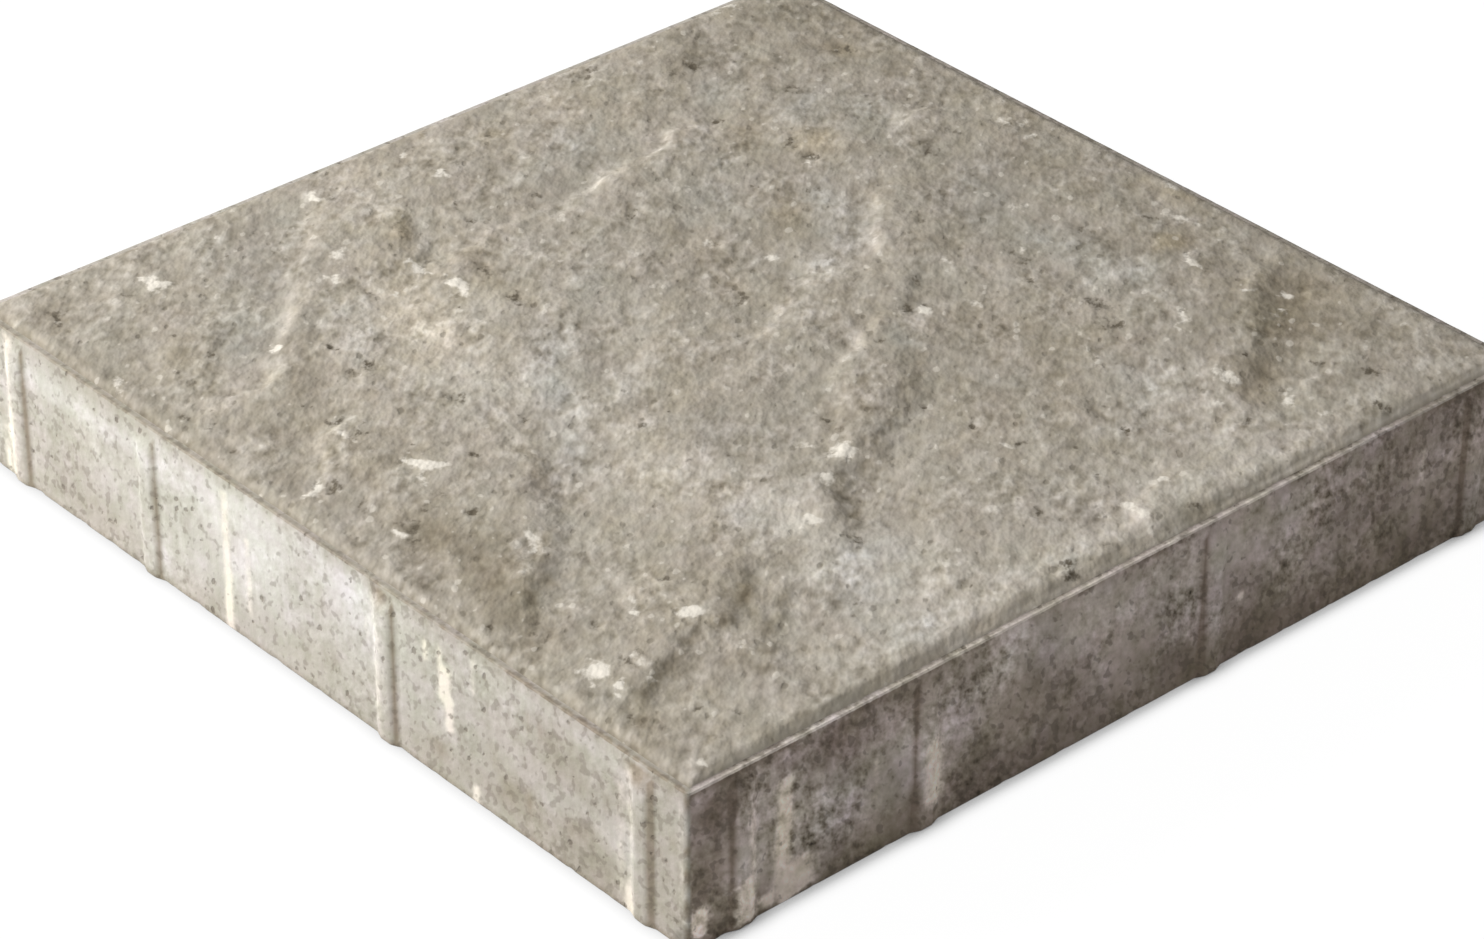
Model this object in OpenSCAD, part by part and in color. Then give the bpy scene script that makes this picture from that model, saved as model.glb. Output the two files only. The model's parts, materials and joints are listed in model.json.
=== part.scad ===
// Riven concrete paving slab, 400 x 400 mm and nominally 65 mm thick, wet cast
// face down in one piece. Millimetres, +Z up, origin at the middle of the bed
// face. The four sides carry the same row of spacer ribs, turned by a quarter.

/* [Slab] */
// Side of the square slab, measured over the spacer ribs
slab_w = 400; // [300:5:600]
// Height of the moulded sides, from the bed face to the rim
side_h = 63.75; // [35:0.25:100]
// Radius of the four upright corners
corner_r = 2; // [0.5:0.5:8]

/* [Spacer ribs] */
// How far a rib stands out from the side of the slab
rib_out = 1.5; // [1:0.25:4]
// Width of a rib at its foot
rib_w = 13; // [10:0.5:22]
// Width of the flat crest of a rib
rib_crest_w = 5; // [3:0.5:9]
// Outermost ribs, from the upright corner to the middle of the rib
rib_outer_in = 23; // [16:1:45]
// Second rib, from the left corner of the side to the middle of the rib
rib_left_in = 104; // [70:1:120]
// Third rib, from the right corner of the side to the middle of the rib
rib_right_in = 157; // [145:1:165]
// Plain band between the rim and the top end of a rib
rib_top_gap = 5; // [2:0.5:20]
// Height of the slope that ends a rib at its top
rib_top_slope = 5; // [1:0.5:12]

/* [Riven face] */
// Width of the flat rim between the sides and the riven face
rim_w = 2.5; // [1:0.25:8]
// Upright foot of the riven face, where it leaves the rim
foot_h = 0.4; // [0.2:0.1:1.2]
// Mean height of the riven face above the rim
face_rise = 2.7; // [1.5:0.1:8]
// Run of the slope up from the rim
edge_run = 3; // [2:0.5:10]
// What that slope gains in run along the right side (+X), towards its middle
edge_belly = 6; // [0:0.5:10]
// How far the riven face sinks towards the rim along the other three sides
edge_sink = 1.1; // [0:0.1:2]
// Direction that the stone split along, in degrees from +X
grain_dir = -56; // [-90:1:90]
// Height of the broad swells, from mean to crest
swell_h = 0.7; // [0:0.1:1.5]
// Distance between two swells, across the grain
swell_pitch = 96; // [50:1:200]
// Height of the shallow flakes between the ledges
flake_h = 0.5; // [0:0.1:1.2]
// Distance between two flakes, across the grain
flake_pitch = 37; // [28:1:80]
// Height of the tallest split ledge
ledge_h = 1.5; // [0:0.1:2.5]
// Width of the slope of a ledge
ledge_w = 3.5; // [2:0.5:10]

/* [Hidden] */
$fn = 48;

body_w = slab_w - 2 * rib_out;       // the square body without its ribs
half_w = body_w / 2;
face_a = half_w - rim_w;             // half the side of the riven face
sunk = 1.5;                          // what ribs and riven face reach into the body

// Split ledges of the riven face: share of ledge_h (above 0 the ground on the
// left of the line is the higher), reach of the raised ground, and the line.
// The lines are drawn on a face of ledge_face and spread with the real one.
ledge_face = 395;
ledges = [
    [-1.0, 28, [[46, 44], [60, 32], [74, 16], [88, -12], [99, -40], [112, -56], [119, -78]]],
    [-0.6, 18, [[104, -42], [119, -53], [130, -66], [134, -80]]],
    [-0.8, 22, [[134, -92], [143, -110], [156, -126], [172, -142]]],
    [-0.9, 24, [[108, -97], [125, -108], [135, -124], [141, -148], [150, -174], [164, -191]]],
    [-0.9, 24, [[6, -110], [28, -118], [44, -127], [58, -138], [70, -153], [84, -168], [98, -184]]],
    [ 0.7, 24, [[18, 60], [32, 34], [46, 6], [62, -8], [86, -28], [97, -48]]],
    [ 0.9, 26, [[-46, 117], [-38, 101], [-26, 90], [-10, 76], [6, 64]]],
    [ 0.7, 24, [[-14, 58], [-8, 34], [6, 8], [9, -14]]],
    [ 0.8, 24, [[-120, 98], [-130, 82], [-121, 64], [-116, 38], [-110, 8], [-102, -14]]],
    [ 0.6, 20, [[-118, -4], [-115, -26], [-112, -48], [-106, -68]]],
    [ 0.5, 20, [[-46, 194], [-54, 177], [-72, 172], [-80, 156], [-70, 146], [-54, 134]]],
    [ 0.9, 28, [[-194, -54], [-164, -70], [-146, -90], [-132, -106], [-110, -124], [-98, -140],
                [-86, -154], [-79, -168], [-85, -190]]],
    [ 0.5, 16, [[-48, -134], [-44, -156], [-38, -166], [-24, -174], [-14, -190]]],
    [-0.9, 26, [[88, 195], [100, 174], [114, 158], [128, 142], [142, 126], [152, 108], [162, 88]]],
    [-0.5, 18, [[-192, 148], [-176, 130], [-162, 114], [-152, 98]]],
    [-0.6, 18, [[-156, -37], [-138, -46], [-124, -56], [-112, -66]]],
    [ 0.5, 20, [[152, 66], [168, 48], [177, 26], [192, 14]]]
];

// Smooth step from 0 to 1
function ease(t) = t <= 0 ? 0 : t >= 1 ? 1 : t * t * (3 - 2 * t);

// Lengths of a line up to each of its points
function run_to(line, i) = i == 0 ? 0 : run_to(line, i - 1) + norm(line[i] - line[i - 1]);

// Nearest point of one stretch of a line: [distance, side, length along it]
function stretch_at(p, a, b, run0) =
    let (d = b - a, len = norm(d), u = d / len, w = p - a,
         t = max(0, min(len, w * u)), side = u.x * w.y - u.y * w.x)
    [norm(w - u * t), side < 0 ? -1 : 1, run0 + t];

// Height that one ledge gives a point: a slope across the line, its raised and
// sunken ground dying away with distance and towards the ends of the line
function ledge_at(p, ledge) =
    let (line = ledge[2], last = len(line) - 1, total = run_to(line, last),
         all = [for (i = [0:last - 1]) stretch_at(p, line[i], line[i + 1], run_to(line, i))],
         near = min([for (s = all) s[0]]))
    near > 2.5 * ledge[1] ? 0 :
    let (s = [for (q = all) if (q[0] == near) q][0], t = s[1] * near / ledge_w,
         taper = ease(4 * s[2] / total) * ease(4 * (1 - s[2] / total)))
    ledge[0] * ledge_h * taper * t / sqrt(1 + t * t) * exp(-pow(near / ledge[1], 2));

// Broad swells along the grain, bent so that no two run alike
function swell_at(u, v) =
    swell_h * (0.6 * sin(360 * v / swell_pitch + 70 * sin(360 * u / (2.4 * swell_pitch)))
        + 0.4 * sin(360 * (u + 0.4 * v) / (1.7 * swell_pitch) + 50));

// Shallow flakes: a slow rise across the grain and a quick drop, broken up along it
function flake_at(u, v) =
    let (q = v / flake_pitch + 0.5 * sin(360 * u / (3.1 * flake_pitch) + 3 * v)
             + 0.2 * sin(360 * u / (1.3 * flake_pitch)),
         f = q - floor(q), patch = 0.5 + 0.5 * sin(360 * u / (4.3 * flake_pitch) + 2 * v))
    flake_h * patch * (f < 0.75 ? f / 0.75 - 0.5 : 0.5 - (f - 0.75) / 0.25);

// Riven face above the rim, without the slope at its edges
function riven_at(x, y) =
    let (u = x * cos(grain_dir) + y * sin(grain_dir), v = y * cos(grain_dir) - x * sin(grain_dir),
         p = [x, y] * ledge_face / (2 * face_a), inner = face_a - max(abs(x), abs(y)),
         sink = edge_sink * (1 - ease((face_a - max(-x, abs(y))) / 45)),
         rough = swell_at(u, v) + flake_at(u, v) + sum_of([for (l = ledges) ledge_at(p, l)]))
    max(foot_h + 0.5, face_rise - sink + rough * (0.3 + 0.7 * ease(inner / 24)));

function sum_of(list, i = 0) = i >= len(list) ? 0 : list[i] + sum_of(list, i + 1);

// Run of the edge slope, seen from a place x, y: widest at the middle of the right side
function run_at(x, y) =
    edge_run + (x > abs(y) ? edge_belly * pow(cos(90 * y / face_a), 2) * (0.8 + 0.2 * sin(9 * y)) : 0);

function face_z(x, y) =
    let (inner = face_a - max(abs(x), abs(y)))
    side_h + foot_h + (riven_at(x, y) - foot_h) * ease(inner / run_at(x, y));

// Grid lines of the riven face: close together on the edge slope, then even
edge_lines = [for (f = [0, 0.18, 0.38, 0.62, 0.92]) f * (edge_run + edge_belly)];
inner_cells = 50;
inner_a = face_a - 1.3 * (edge_run + edge_belly);
grid = concat([for (e = edge_lines) e - face_a],
    [for (i = [0:inner_cells]) inner_a * (2 * i / inner_cells - 1)],
    [for (i = [len(edge_lines) - 1:-1:0]) face_a - edge_lines[i]]);
n = len(grid);

// The square body: upright sides and a flat bed face
module body() {
    linear_extrude(side_h)
        for (turn = [0, 90]) rotate(turn)
            square([body_w, body_w - 2 * corner_r], center = true);
    for (x = [-1, 1], y = [-1, 1])
        translate([x * (half_w - corner_r), y * (half_w - corner_r), 0])
            cylinder(r = corner_r, h = side_h);
}

// One spacer rib, upright on the front side (-Y) at x = 0: its plan, cut by its
// outline seen from the side, so that its top end slopes back to the body
module spacer_rib() {
    top = side_h - rib_top_gap;
    ease_w = (rib_w - rib_crest_w) / 2;
    intersection() {
        linear_extrude(top)
            polygon([[-rib_w / 2, sunk], [-rib_w / 2, 0],
                [-rib_crest_w / 2 - 0.3 * ease_w, -0.85 * rib_out], [-rib_crest_w / 2, -rib_out],
                [rib_crest_w / 2, -rib_out], [rib_crest_w / 2 + 0.3 * ease_w, -0.85 * rib_out],
                [rib_w / 2, 0], [rib_w / 2, sunk]]);
        rotate([90, 0, -90]) translate([0, 0, -rib_w])
            linear_extrude(2 * rib_w)
                polygon([[-sunk, 0], [rib_out, 0], [rib_out, top - rib_top_slope],
                    [0, top], [-sunk, top]]);
    }
}

// The four ribs of one side, placed from its two corners
module rib_row() {
    for (x = [rib_outer_in - half_w, rib_left_in - half_w,
              half_w - rib_right_in, half_w - rib_outer_in])
        translate([x, -half_w, 0]) spacer_rib();
}

// The riven face, one closed block that starts inside the body
module riven_face() {
    top = [for (y = grid) for (x = grid) [x, y, face_z(x, y)]];
    floor_z = side_h - sunk;
    base = [[-face_a, -face_a, floor_z], [face_a, -face_a, floor_z],
            [face_a, face_a, floor_z], [-face_a, face_a, floor_z]];
    m = n * n;
    // each cell is cut along the diagonal whose ends differ less in height
    cells = [for (j = [0:n - 2], i = [0:n - 2])
        let (a = j * n + i, b = a + 1, c = b + n, d = a + n,
             straight = abs(top[a].z - top[c].z) < abs(top[b].z - top[d].z))
        each straight ? [[a, c, b], [a, d, c]] : [[a, d, b], [b, d, c]]];
    // each wall is a fan from its lower corner over the edge of the grid
    walls = [
        concat([m], [for (i = [0:n - 1]) i], [m + 1]),
        concat([m + 1], [for (j = [0:n - 1]) j * n + n - 1], [m + 2]),
        concat([m + 2], [for (i = [n - 1:-1:0]) (n - 1) * n + i], [m + 3]),
        concat([m + 3], [for (j = [n - 1:-1:0]) j * n], [m])];
    polyhedron(points = concat(top, base),
        faces = concat(cells, walls, [[m, m + 1, m + 2, m + 3]]), convexity = 6);
}

module slab() {
    color([0.68, 0.65, 0.59]) union() {
        body();
        for (turn = [0:90:270]) rotate(turn) rib_row();
        riven_face();
    }
}

slab();
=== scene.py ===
import json
import math
from functools import partial

import bmesh
import bpy
import numpy as np
from mathutils import Matrix, Vector, noise
from mathutils.bvhtree import BVHTree

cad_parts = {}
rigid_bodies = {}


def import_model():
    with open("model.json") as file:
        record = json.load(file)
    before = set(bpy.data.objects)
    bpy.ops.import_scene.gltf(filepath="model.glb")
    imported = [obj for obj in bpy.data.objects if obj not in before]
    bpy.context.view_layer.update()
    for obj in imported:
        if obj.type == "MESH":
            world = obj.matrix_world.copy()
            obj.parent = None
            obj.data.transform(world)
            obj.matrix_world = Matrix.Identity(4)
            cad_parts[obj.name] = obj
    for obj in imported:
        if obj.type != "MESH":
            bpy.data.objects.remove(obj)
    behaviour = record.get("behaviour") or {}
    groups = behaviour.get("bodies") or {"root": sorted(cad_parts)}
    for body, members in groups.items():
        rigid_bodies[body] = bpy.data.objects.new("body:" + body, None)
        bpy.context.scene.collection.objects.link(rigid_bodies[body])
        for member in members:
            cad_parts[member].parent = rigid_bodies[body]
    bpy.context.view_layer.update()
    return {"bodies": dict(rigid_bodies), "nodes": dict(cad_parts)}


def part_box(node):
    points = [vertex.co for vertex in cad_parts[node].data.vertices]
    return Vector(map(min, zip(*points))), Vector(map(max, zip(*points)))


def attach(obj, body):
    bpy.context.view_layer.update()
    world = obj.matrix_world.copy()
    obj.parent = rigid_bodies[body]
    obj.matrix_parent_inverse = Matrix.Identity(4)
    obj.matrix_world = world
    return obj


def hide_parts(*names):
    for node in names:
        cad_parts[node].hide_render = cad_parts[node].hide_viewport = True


# A riven concrete paving slab: wet cast face down, lifted out of its mould, laid on a flat floor.
# Metres, +Z up, bed face on z = 0. Lengths written as 3 * mm are in millimetres. The listed
# marks are in millimetres on a slab 400 mm wide without its ribs, and spread with the real one.

mm = 0.001
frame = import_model()
low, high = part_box("slab")
root = list(frame["bodies"])[0]


def colour(hexText):  # sRGB hex to linear
    parts = [int(hexText[i:i + 2], 16) / 255 for i in (1, 3, 5)]
    return [p / 12.92 if p <= 0.04045 else ((p + 0.055) / 1.055) ** 2.4 for p in parts] + [1]


def addNode(tree, kind, settings, out=0):  # a socket among the settings becomes a link
    node = tree.nodes.new("ShaderNode" + kind)
    for name, value in settings.items():
        if isinstance(value, bpy.types.NodeSocket):
            tree.links.new(value, node.inputs[name])
        elif isinstance(name, int) or name in node.inputs:
            node.inputs[name].default_value = value
        else:
            setattr(node, name, value)
    return node if out is None else node.outputs[out]


def easeStep(t):
    t = np.clip(t, 0, 1)
    return t * t * (3 - 2 * t)


view = {
    "azimuth": 48.45,      # degrees round from -Y towards +X
    "elevation": 32.84,
    "roll": 0.11,
    "distance": 4.727,     # slab widths
    "aimX": -0.005,        # slab widths from the middle of the bed face
    "aimY": 0.004,
    "aimZ": 0.01,
    "lens": 124.15,        # mm on a 36 mm sensor
}


def makeCamera():
    width = high.x - low.x
    data = bpy.data.cameras.new("camera")
    data.lens = view["lens"]
    data.sensor_width = 36
    camera = bpy.data.objects.new("camera", data)
    turn = (Matrix.Rotation(math.radians(view["azimuth"]), 4, "Z")
            @ Matrix.Rotation(math.radians(90 - view["elevation"]), 4, "X")
            @ Matrix.Rotation(math.radians(view["roll"]), 4, "Z"))
    aim = Vector((view["aimX"], view["aimY"], view["aimZ"])) * width
    back = turn @ Vector((0, 0, view["distance"] * width))
    camera.matrix_world = Matrix.Translation(aim + back) @ turn
    bpy.context.scene.collection.objects.link(camera)
    bpy.context.scene.camera = camera


makeCamera()
print("camera placed")

slabForm = {
    "ribOut": 1.5 * mm,
    "ribFoot": 13 * mm,          # width at the side of the slab
    "ribCrest": 5 * mm,
    "ribPlaces": [-175.5, -94.5, 41.5, 175.5],  # mm along each side, going anticlockwise
    "ribTop": 5 * mm,            # below the rim
    "ribSlope": 5 * mm,
    "rimHeight": 63.75 * mm,
    "rimWidth": 2.5 * mm,
    "footHeight": 0.4 * mm,      # upright edge of the riven face
    "cornerRadius": 2 * mm,
    "arris": 0.5 * mm,           # worn rounding of the moulded edges
    "cells": 256,                # along each side of the riven face
    "rows": 22,                  # up each side
}
body = high.x - slabForm["ribOut"]
face = body - slabForm["rimWidth"]
spreadOut = body / (200 * mm)    # from the marks' 400 mm to the real body


def gridLines():  # even lines, a few of them moved onto the feet and crests of the ribs
    form = slabForm
    lines = np.linspace(-face, face, form["cells"] + 1)
    for place in form["ribPlaces"]:    # foot, crease and crest
        for away in (form["ribFoot"] / 2, 5 * mm, form["ribCrest"] / 2):
            for edge in (place * mm - away, place * mm + away):
                for at in (edge * face / body, -edge * face / body):
                    lines[1 + np.argmin(abs(lines[1:-1] - at))] = at
    return np.sort(lines)


def outlinePoint(x, y, inset):  # from the edge of the riven face out to the slab's own outline
    k = (body - inset) / face
    px, py = x * k, y * k
    r = max(slabForm["cornerRadius"] - inset, 0.2 * mm)
    c = body - inset - r
    if abs(px) > c and abs(py) > c:
        dx, dy = abs(px) - c, abs(py) - c
        far = math.hypot(dx, dy)
        px, py = math.copysign(c + dx / far * r, px), math.copysign(c + dy / far * r, py)
    return px, py


def ringOut(bm, edges, inset, z, flatX, flatY):  # one more ring of faces, placed on the outline
    made = bmesh.ops.extrude_edge_only(bm, edges=edges)["geom"]
    for v in [g for g in made if isinstance(g, bmesh.types.BMVert)]:
        v.co.x, v.co.y = outlinePoint(v[flatX], v[flatY], inset)
        v.co.z = z
    return [g for g in made if isinstance(g, bmesh.types.BMEdge)]


def makeBlank():  # the slab before its relief: a fine grid on top, rings of faces down the sides
    form = slabForm
    bm = bmesh.new()
    bmesh.ops.create_grid(bm, x_segments=form["cells"], y_segments=form["cells"], size=face)
    flatX = bm.verts.layers.float.new("flatX")   # where each column starts on the riven face
    flatY = bm.verts.layers.float.new("flatY")
    lines, half = gridLines(), form["cells"] / 2
    for v in bm.verts:
        v.co.x = lines[round((v.co.x / face + 1) * half)]
        v.co.y = lines[round((v.co.y / face + 1) * half)]
        v.co.z = form["rimHeight"] + form["footHeight"]
        v[flatX], v[flatY] = v.co.x, v.co.y
    topCount = len(bm.faces)
    loop = [e for e in bm.edges if e.is_boundary]
    rim, arris, width = form["rimHeight"], form["arris"], form["rimWidth"]
    rings = [(width - 0.1 * mm, rim + 0.1 * mm), (width - 0.6 * mm, rim),
             (arris, rim), (0.25 * arris, rim - 0.3 * arris), (0, rim - 1.1 * arris),
             (0, rim - 2.2 * arris)]
    for row in range(1, form["rows"]):
        rings.append((0, (rim - 1.1 * arris) * (1 - row / form["rows"])))
    rings += [(0, arris), (0.3 * arris, 0.2 * arris), (arris, 0), (4 * mm, 0)]
    for inset, z in rings:
        loop = ringOut(bm, loop, inset, z, flatX, flatY)
    sideCount = len(bm.faces)
    bmesh.ops.edgeloop_fill(bm, edges=loop)
    for i, f in enumerate(bm.faces):
        f.smooth = True
        f.material_index = 0 if i < topCount else 1 if i < sideCount else 2
    bmesh.ops.recalc_face_normals(bm, faces=bm.faces)
    mesh = bpy.data.meshes.new("slab")
    bm.to_mesh(mesh)
    bm.free()
    return mesh


slabMesh = makeBlank()
print("blank closed:", len(slabMesh.polygons), "faces")

# Ledges of the split stone that the mould was taken from: height in mm (above 0 the ground to the
# left of the line is the higher), width of the break, tone of what lies along it (above 0 pale
# laitance and painted light on a scarp facing the lamp, below 0 dirt and painted shade on a scarp
# facing away) and the width of that tone, then the line.
ledges = [
    (-.25, 2.4, -.45, 7, [(34, 72), (46, 50), (60, 32), (74, 12), (88, -12), (100, -38)]),
    (-.5, 1.5, -.9, 2.4, [(96, -36), (102, -43), (108, -50), (112, -58)]),
    (-.4, 1.4, -.6, 2, [(104, -43), (119, -53), (130, -65), (134, -80)]),
    (-.4, 1.6, -.8, 3, [(134, -93), (143, -110), (150, -121), (159, -129), (172, -142)]),
    (-.4, 1.6, -.9, 3, [(109, -98), (121, -106), (132, -115), (137, -128), (141, -148), (150, -176)]),
    (-.4, 1.5, -.8, 2.2, [(146, -166), (152, -178), (164, -191)]),
    (-.4, 1.8, -.6, 3.6, [(8, -111), (20, -114), (32, -121), (44, -128)]),
    (-.45, 1.8, -.8, 4.4, [(50, -129), (58, -138), (68, -151), (78, -161), (86, -171), (98, -183)]),
    (.6, 1.5, .7, 2.6, [(18, 60), (26, 46), (32, 32), (40, 18), (48, 2), (60, -7)]),
    (.3, 1.5, .1, 2.4, [(60, -7), (74, -18), (86, -28), (97, -48)]),
    (.5, 1.2, .6, 2.4, [(-46, 117), (-40, 104), (-30, 93)]),
    (.6, 1.2, 1, 2, [(-34, 96), (-24, 88), (-12, 78), (2, 70)]),
    (.6, 1.4, .9, 3, [(-11, 54), (-8, 36), (-3, 22), (6, 8), (9, -8), (8, -18)]),
    (.6, 1.5, .9, 3.2, [(-118, 94), (-128, 84), (-127, 76), (-121, 64), (-118, 50)]),
    (.5, 1.5, .9, 3.6, [(-118, 52), (-117, 36), (-115, 20), (-110, 6), (-104, -8)]),
    (.2, 1.5, .5, 2.6, [(-127, 46), (-125, 34), (-122, 24)]),
    (.6, 1.6, .8, 3.4, [(-118, -6), (-116, -22), (-112, -44), (-108, -62)]),
    (.4, 1.4, .6, 3, [(-46, 192), (-49, 181), (-58, 175), (-66, 171)]),
    (.5, 1.4, .8, 3, [(-73, 178), (-74, 168), (-80, 158), (-78, 150), (-70, 146)]),
    (.4, 1.3, .7, 2.6, [(-72, 160), (-74, 153), (-67, 146), (-60, 141), (-52, 136), (-46, 128)]),
    (.3, 1.3, .6, 2.4, [(-119, 139), (-113, 133), (-106, 130)]),
    (.2, 1.3, .5, 3.4, [(-104, 126), (-102, 116)]),
    (.3, 1.6, .4, 3.6, [(-168, 96), (-160, 80), (-148, 70), (-132, 68)]),
    (.3, 1.3, .4, 2.4, [(-160, 160), (-156, 148), (-146, 140)]),
    (.6, 1.5, .6, 3, [(-192, -54), (-178, -62), (-165, -71), (-154, -82), (-146, -92)]),
    (.6, 1.5, .7, 2.6, [(-148, -88), (-142, -99), (-136, -106), (-122, -112)]),
    (.7, 1.4, .65, 2.4, [(-124, -112), (-112, -122), (-104, -134), (-96, -141)]),
    (.5, 1.5, .5, 3.2, [(-92, -138), (-86, -152), (-79, -165), (-82, -176), (-87, -190)]),
    (.4, 1.2, .8, 2, [(-48, -134), (-46, -146), (-43, -158), (-38, -168)]),
    (.4, 1.2, .9, 2.2, [(-38, -164), (-28, -170), (-20, -179), (-16, -188)]),
    (.3, 1.3, .5, 3, [(46, -130), (56, -140), (64, -152), (74, -166)]),
    (.2, 1.3, .4, 3, [(96, -128), (107, -144), (118, -158)]),
    (-.2, 3.4, -.25, 11, [(90, 195), (96, 180), (103, 170), (114, 158), (122, 146)]),
    (-.2, 3.4, -.3, 9, [(122, 150), (132, 138), (142, 126), (152, 112), (160, 96)]),
    (.2, 1.3, .5, 3, [(82, 176), (92, 172), (102, 164)]),
    (.2, 1.3, .4, 3, [(60, 176), (72, 160), (82, 152), (92, 142)]),
    (-.3, 1.8, -.6, 5, [(-192, 148), (-180, 134), (-170, 122), (-162, 114)]),
    (-.4, 1.6, -.6, 3.4, [(-152, -39), (-142, -44), (-133, -51), (-122, -57), (-114, -62)]),
    (-.3, 1.6, -.7, 3, [(6, 84), (14, 75), (24, 65), (30, 56)]),
    (-.4, 1.6, -.4, 3.4, [(166, 112), (176, 98), (188, 86)]),
    (-.4, 1.4, -.8, 2.4, [(-199, 12), (-192, 4), (-187, -6)]),
    (-.3, 1.4, -.7, 2.4, [(-130, -136), (-124, -146), (-114, -156)]),
    (.5, 1.5, .6, 3.2, [(156, 60), (168, 47), (174, 34), (178, 22), (190, 16)]),
    (.3, 1.5, .5, 3, [(160, 136), (162, 124), (170, 112)]),
    (-.3, 1.4, -.6, 2.6, [(66, -75), (74, -80), (84, -89)]),
    (-.3, 1.4, -.5, 2.6, [(-66, -112), (-60, -124), (-48, -134)]),
    (.3, 1.4, .4, 3, [(-72, -22), (-60, -36), (-48, -52), (-36, -66)]),
    (-.3, 1.5, -.5, 3, [(84, 96), (96, 84), (112, 72)]),
]

# Pits and cracks with dirt in them: x, y, length, width, all mm, direction in degrees, and depth
pits = [
    (-137, 174, 10, 6, 0, .6), (-124, 136, 5, 6, 0, .8), (-165, 119, 9, 4, -20, .9),
    (-163, 106, 8, 3, -50, .6), (-191, 89, 4, 5, 0, .7), (-186, 82, 5, 7, -60, .5),
    (-90, 105, 6, 3, -30, 1), (-79, 104, 6, 4, -20, .9), (-125, 97, 5, 3, -45, .8),
    (-127, 7, 5, 4, 0, .5), (-176, 24, 8, 5, 0, .4), (-155, 20, 5, 3, 0, .5), (-90, 24, 8, 3, -45, .7),
    (-54, 35, 6, 2.5, -30, .7), (-86, 41, 4, 3, 0, .5), (-19, 16, 5, 4, 0, .9),
    (-15, 12, 4, 3, -40, .6), (-14, 101, 5, 4, 0, .7), (-22, 102, 4, 3, 0, .5), (-50, 142, 6, 9, 0, .6),
    (-57, 159, 5, 5, -40, .5), (-30, 111, 8, 3, 0, .5), (-60, 90, 4, 5, 0, .5),
    (-75, 74, 3, 5, -60, .5), (28, 114, 7, 3, -10, .8), (32, 110, 4, 6, 0, .7), (74, 110, 9, 6, 0, .75),
    (88, 103, 7, 6, 0, .7), (46, 104, 9, 4, 0, .5), (17, 71, 12, 4, -45, .5), (29, 55, 6, 4, 40, .9),
    (32, 63, 3, 2, 0, .9), (65, 60, 3, 2.5, 0, .8), (124, 61, 3, 2.5, 0, .6), (143, 56, 4.5, 3, -40, 1),
    (151, 68, 4, 3, 0, .7), (138, 36, 4, 3, 0, .7), (121, 22, 4, 5, 0, .7), (81, 14, 5, 3, -40, .8),
    (102, 18, 4, 3, -40, .7), (39, 32, 3, 4, 0, .6), (156, 29, 7, 2, -45, .7), (158, -4, 4, 3, 0, .7),
    (66, -20, 4, 3, 0, .7), (74, -20, 3, 3, 0, .7), (190, -20, 10, 4, -50, .8), (191, 136, 6, 6, 0, .7),
    (192, 40, 8, 4, 0, .7), (172, 152, 7, 5, 30, .7), (172, 166, 3, 5, 0, .4), (44, 170, 8, 4, 30, .6),
    (30, 144, 4, 3, 0, .5), (135, 124, 4, 2.5, -30, .9), (154, 140, 5, 3, 0, .6),
    (97, 193, 8, 3, 0, .5), (166, 92, 5, 5, 0, .6), (187, 90, 8, 2, -50, .6), (100, 82, 3, 3, 0, .6),
    (95, 70, 8, 4, -20, .4), (-70, -118, 6, 5, 30, .9), (-87, -121, 4, 2.5, 0, 1),
    (-70, -126, 4, 3, 0, .6), (-32, -108, 6, 5, 0, .7), (-72, -48, 6, 5, 0, .9),
    (-96, -44, 7, 3, -20, .8), (-127, -23, 4, 5, 0, .9), (-138, -22, 10, 2, -10, .6),
    (-137, -50, 12, 4, -40, .6), (-187, -8, 6, 6, 0, .6), (-104, -39, 4, 2, 0, .6),
    (-80, -67, 4, 3, -40, .6), (-110, -87, 3, 3, 0, .6), (-176, -53, 6, 4, 0, .5),
    (-160, -96, 5, 3, -40, .5), (-168, -110, 5, 4, 0, .5), (-113, -156, 6, 3, -20, .8),
    (-135, -160, 3, 5, -60, .5), (-172, -155, 10, 5, 0, .4), (-112, -173, 4, 4, 0, .6),
    (-196, -176, 5, 4, 0, .8), (-173, -182, 12, 4, -30, .7), (-178, -176, 6, 4, 0, .4),
    (-74, -185, 6, 3, 0, .6), (-58, -187, 3, 3, 0, .6), (-86, -188, 6, 3, 0, .6),
    (-49, -150, 5, 6, 0, .7), (-36, -149, 9, 4, -60, .8), (-16, -176, 7, 6, -30, .8),
    (-63, -152, 4, 3, 0, .6), (2, -127, 4, 3, 0, 1), (-6, -98, 6, 3, -30, .6), (-18, -140, 3, 4, 0, .5),
    (0, -176, 6, 4, 0, .5), (31, -150, 5, 6, 0, .9), (16, -151, 6, 3, -30, .5),
    (17, -162, 4, 10, 0, .7), (22, -171, 8, 5, -30, .9), (28, -176, 5, 3, 0, .6),
    (110, -162, 6, 4, -20, .8), (104, -128, 4, 3, 0, .6), (60, -91, 3, 3, 0, .6),
    (87, -189, 4, 2.5, -30, .8), (96, -179, 9, 4, -20, .6), (104, -180, 4, 4, 0, .6),
    (170, -183, 4, 3, 0, .6), (168, -167, 3, 3, 0, .5), (178, -160, 4, 2, 0, .6),
    (157, -187, 10, 3, -30, .7), (134, -170, 7, 4, -10, .6), (54, -73, 4, 3, 0, .5),
    (26, -71, 3, 4, 0, .5), (62, -60, 3, 4, 0, .7), (24, -57, 4, 4, 0, .5), (129, -63, 5, 4, 0, .8),
    (175, -55, 4, 5, 0, .6), (157, -90, 6, 4, -30, .5),
]

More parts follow.
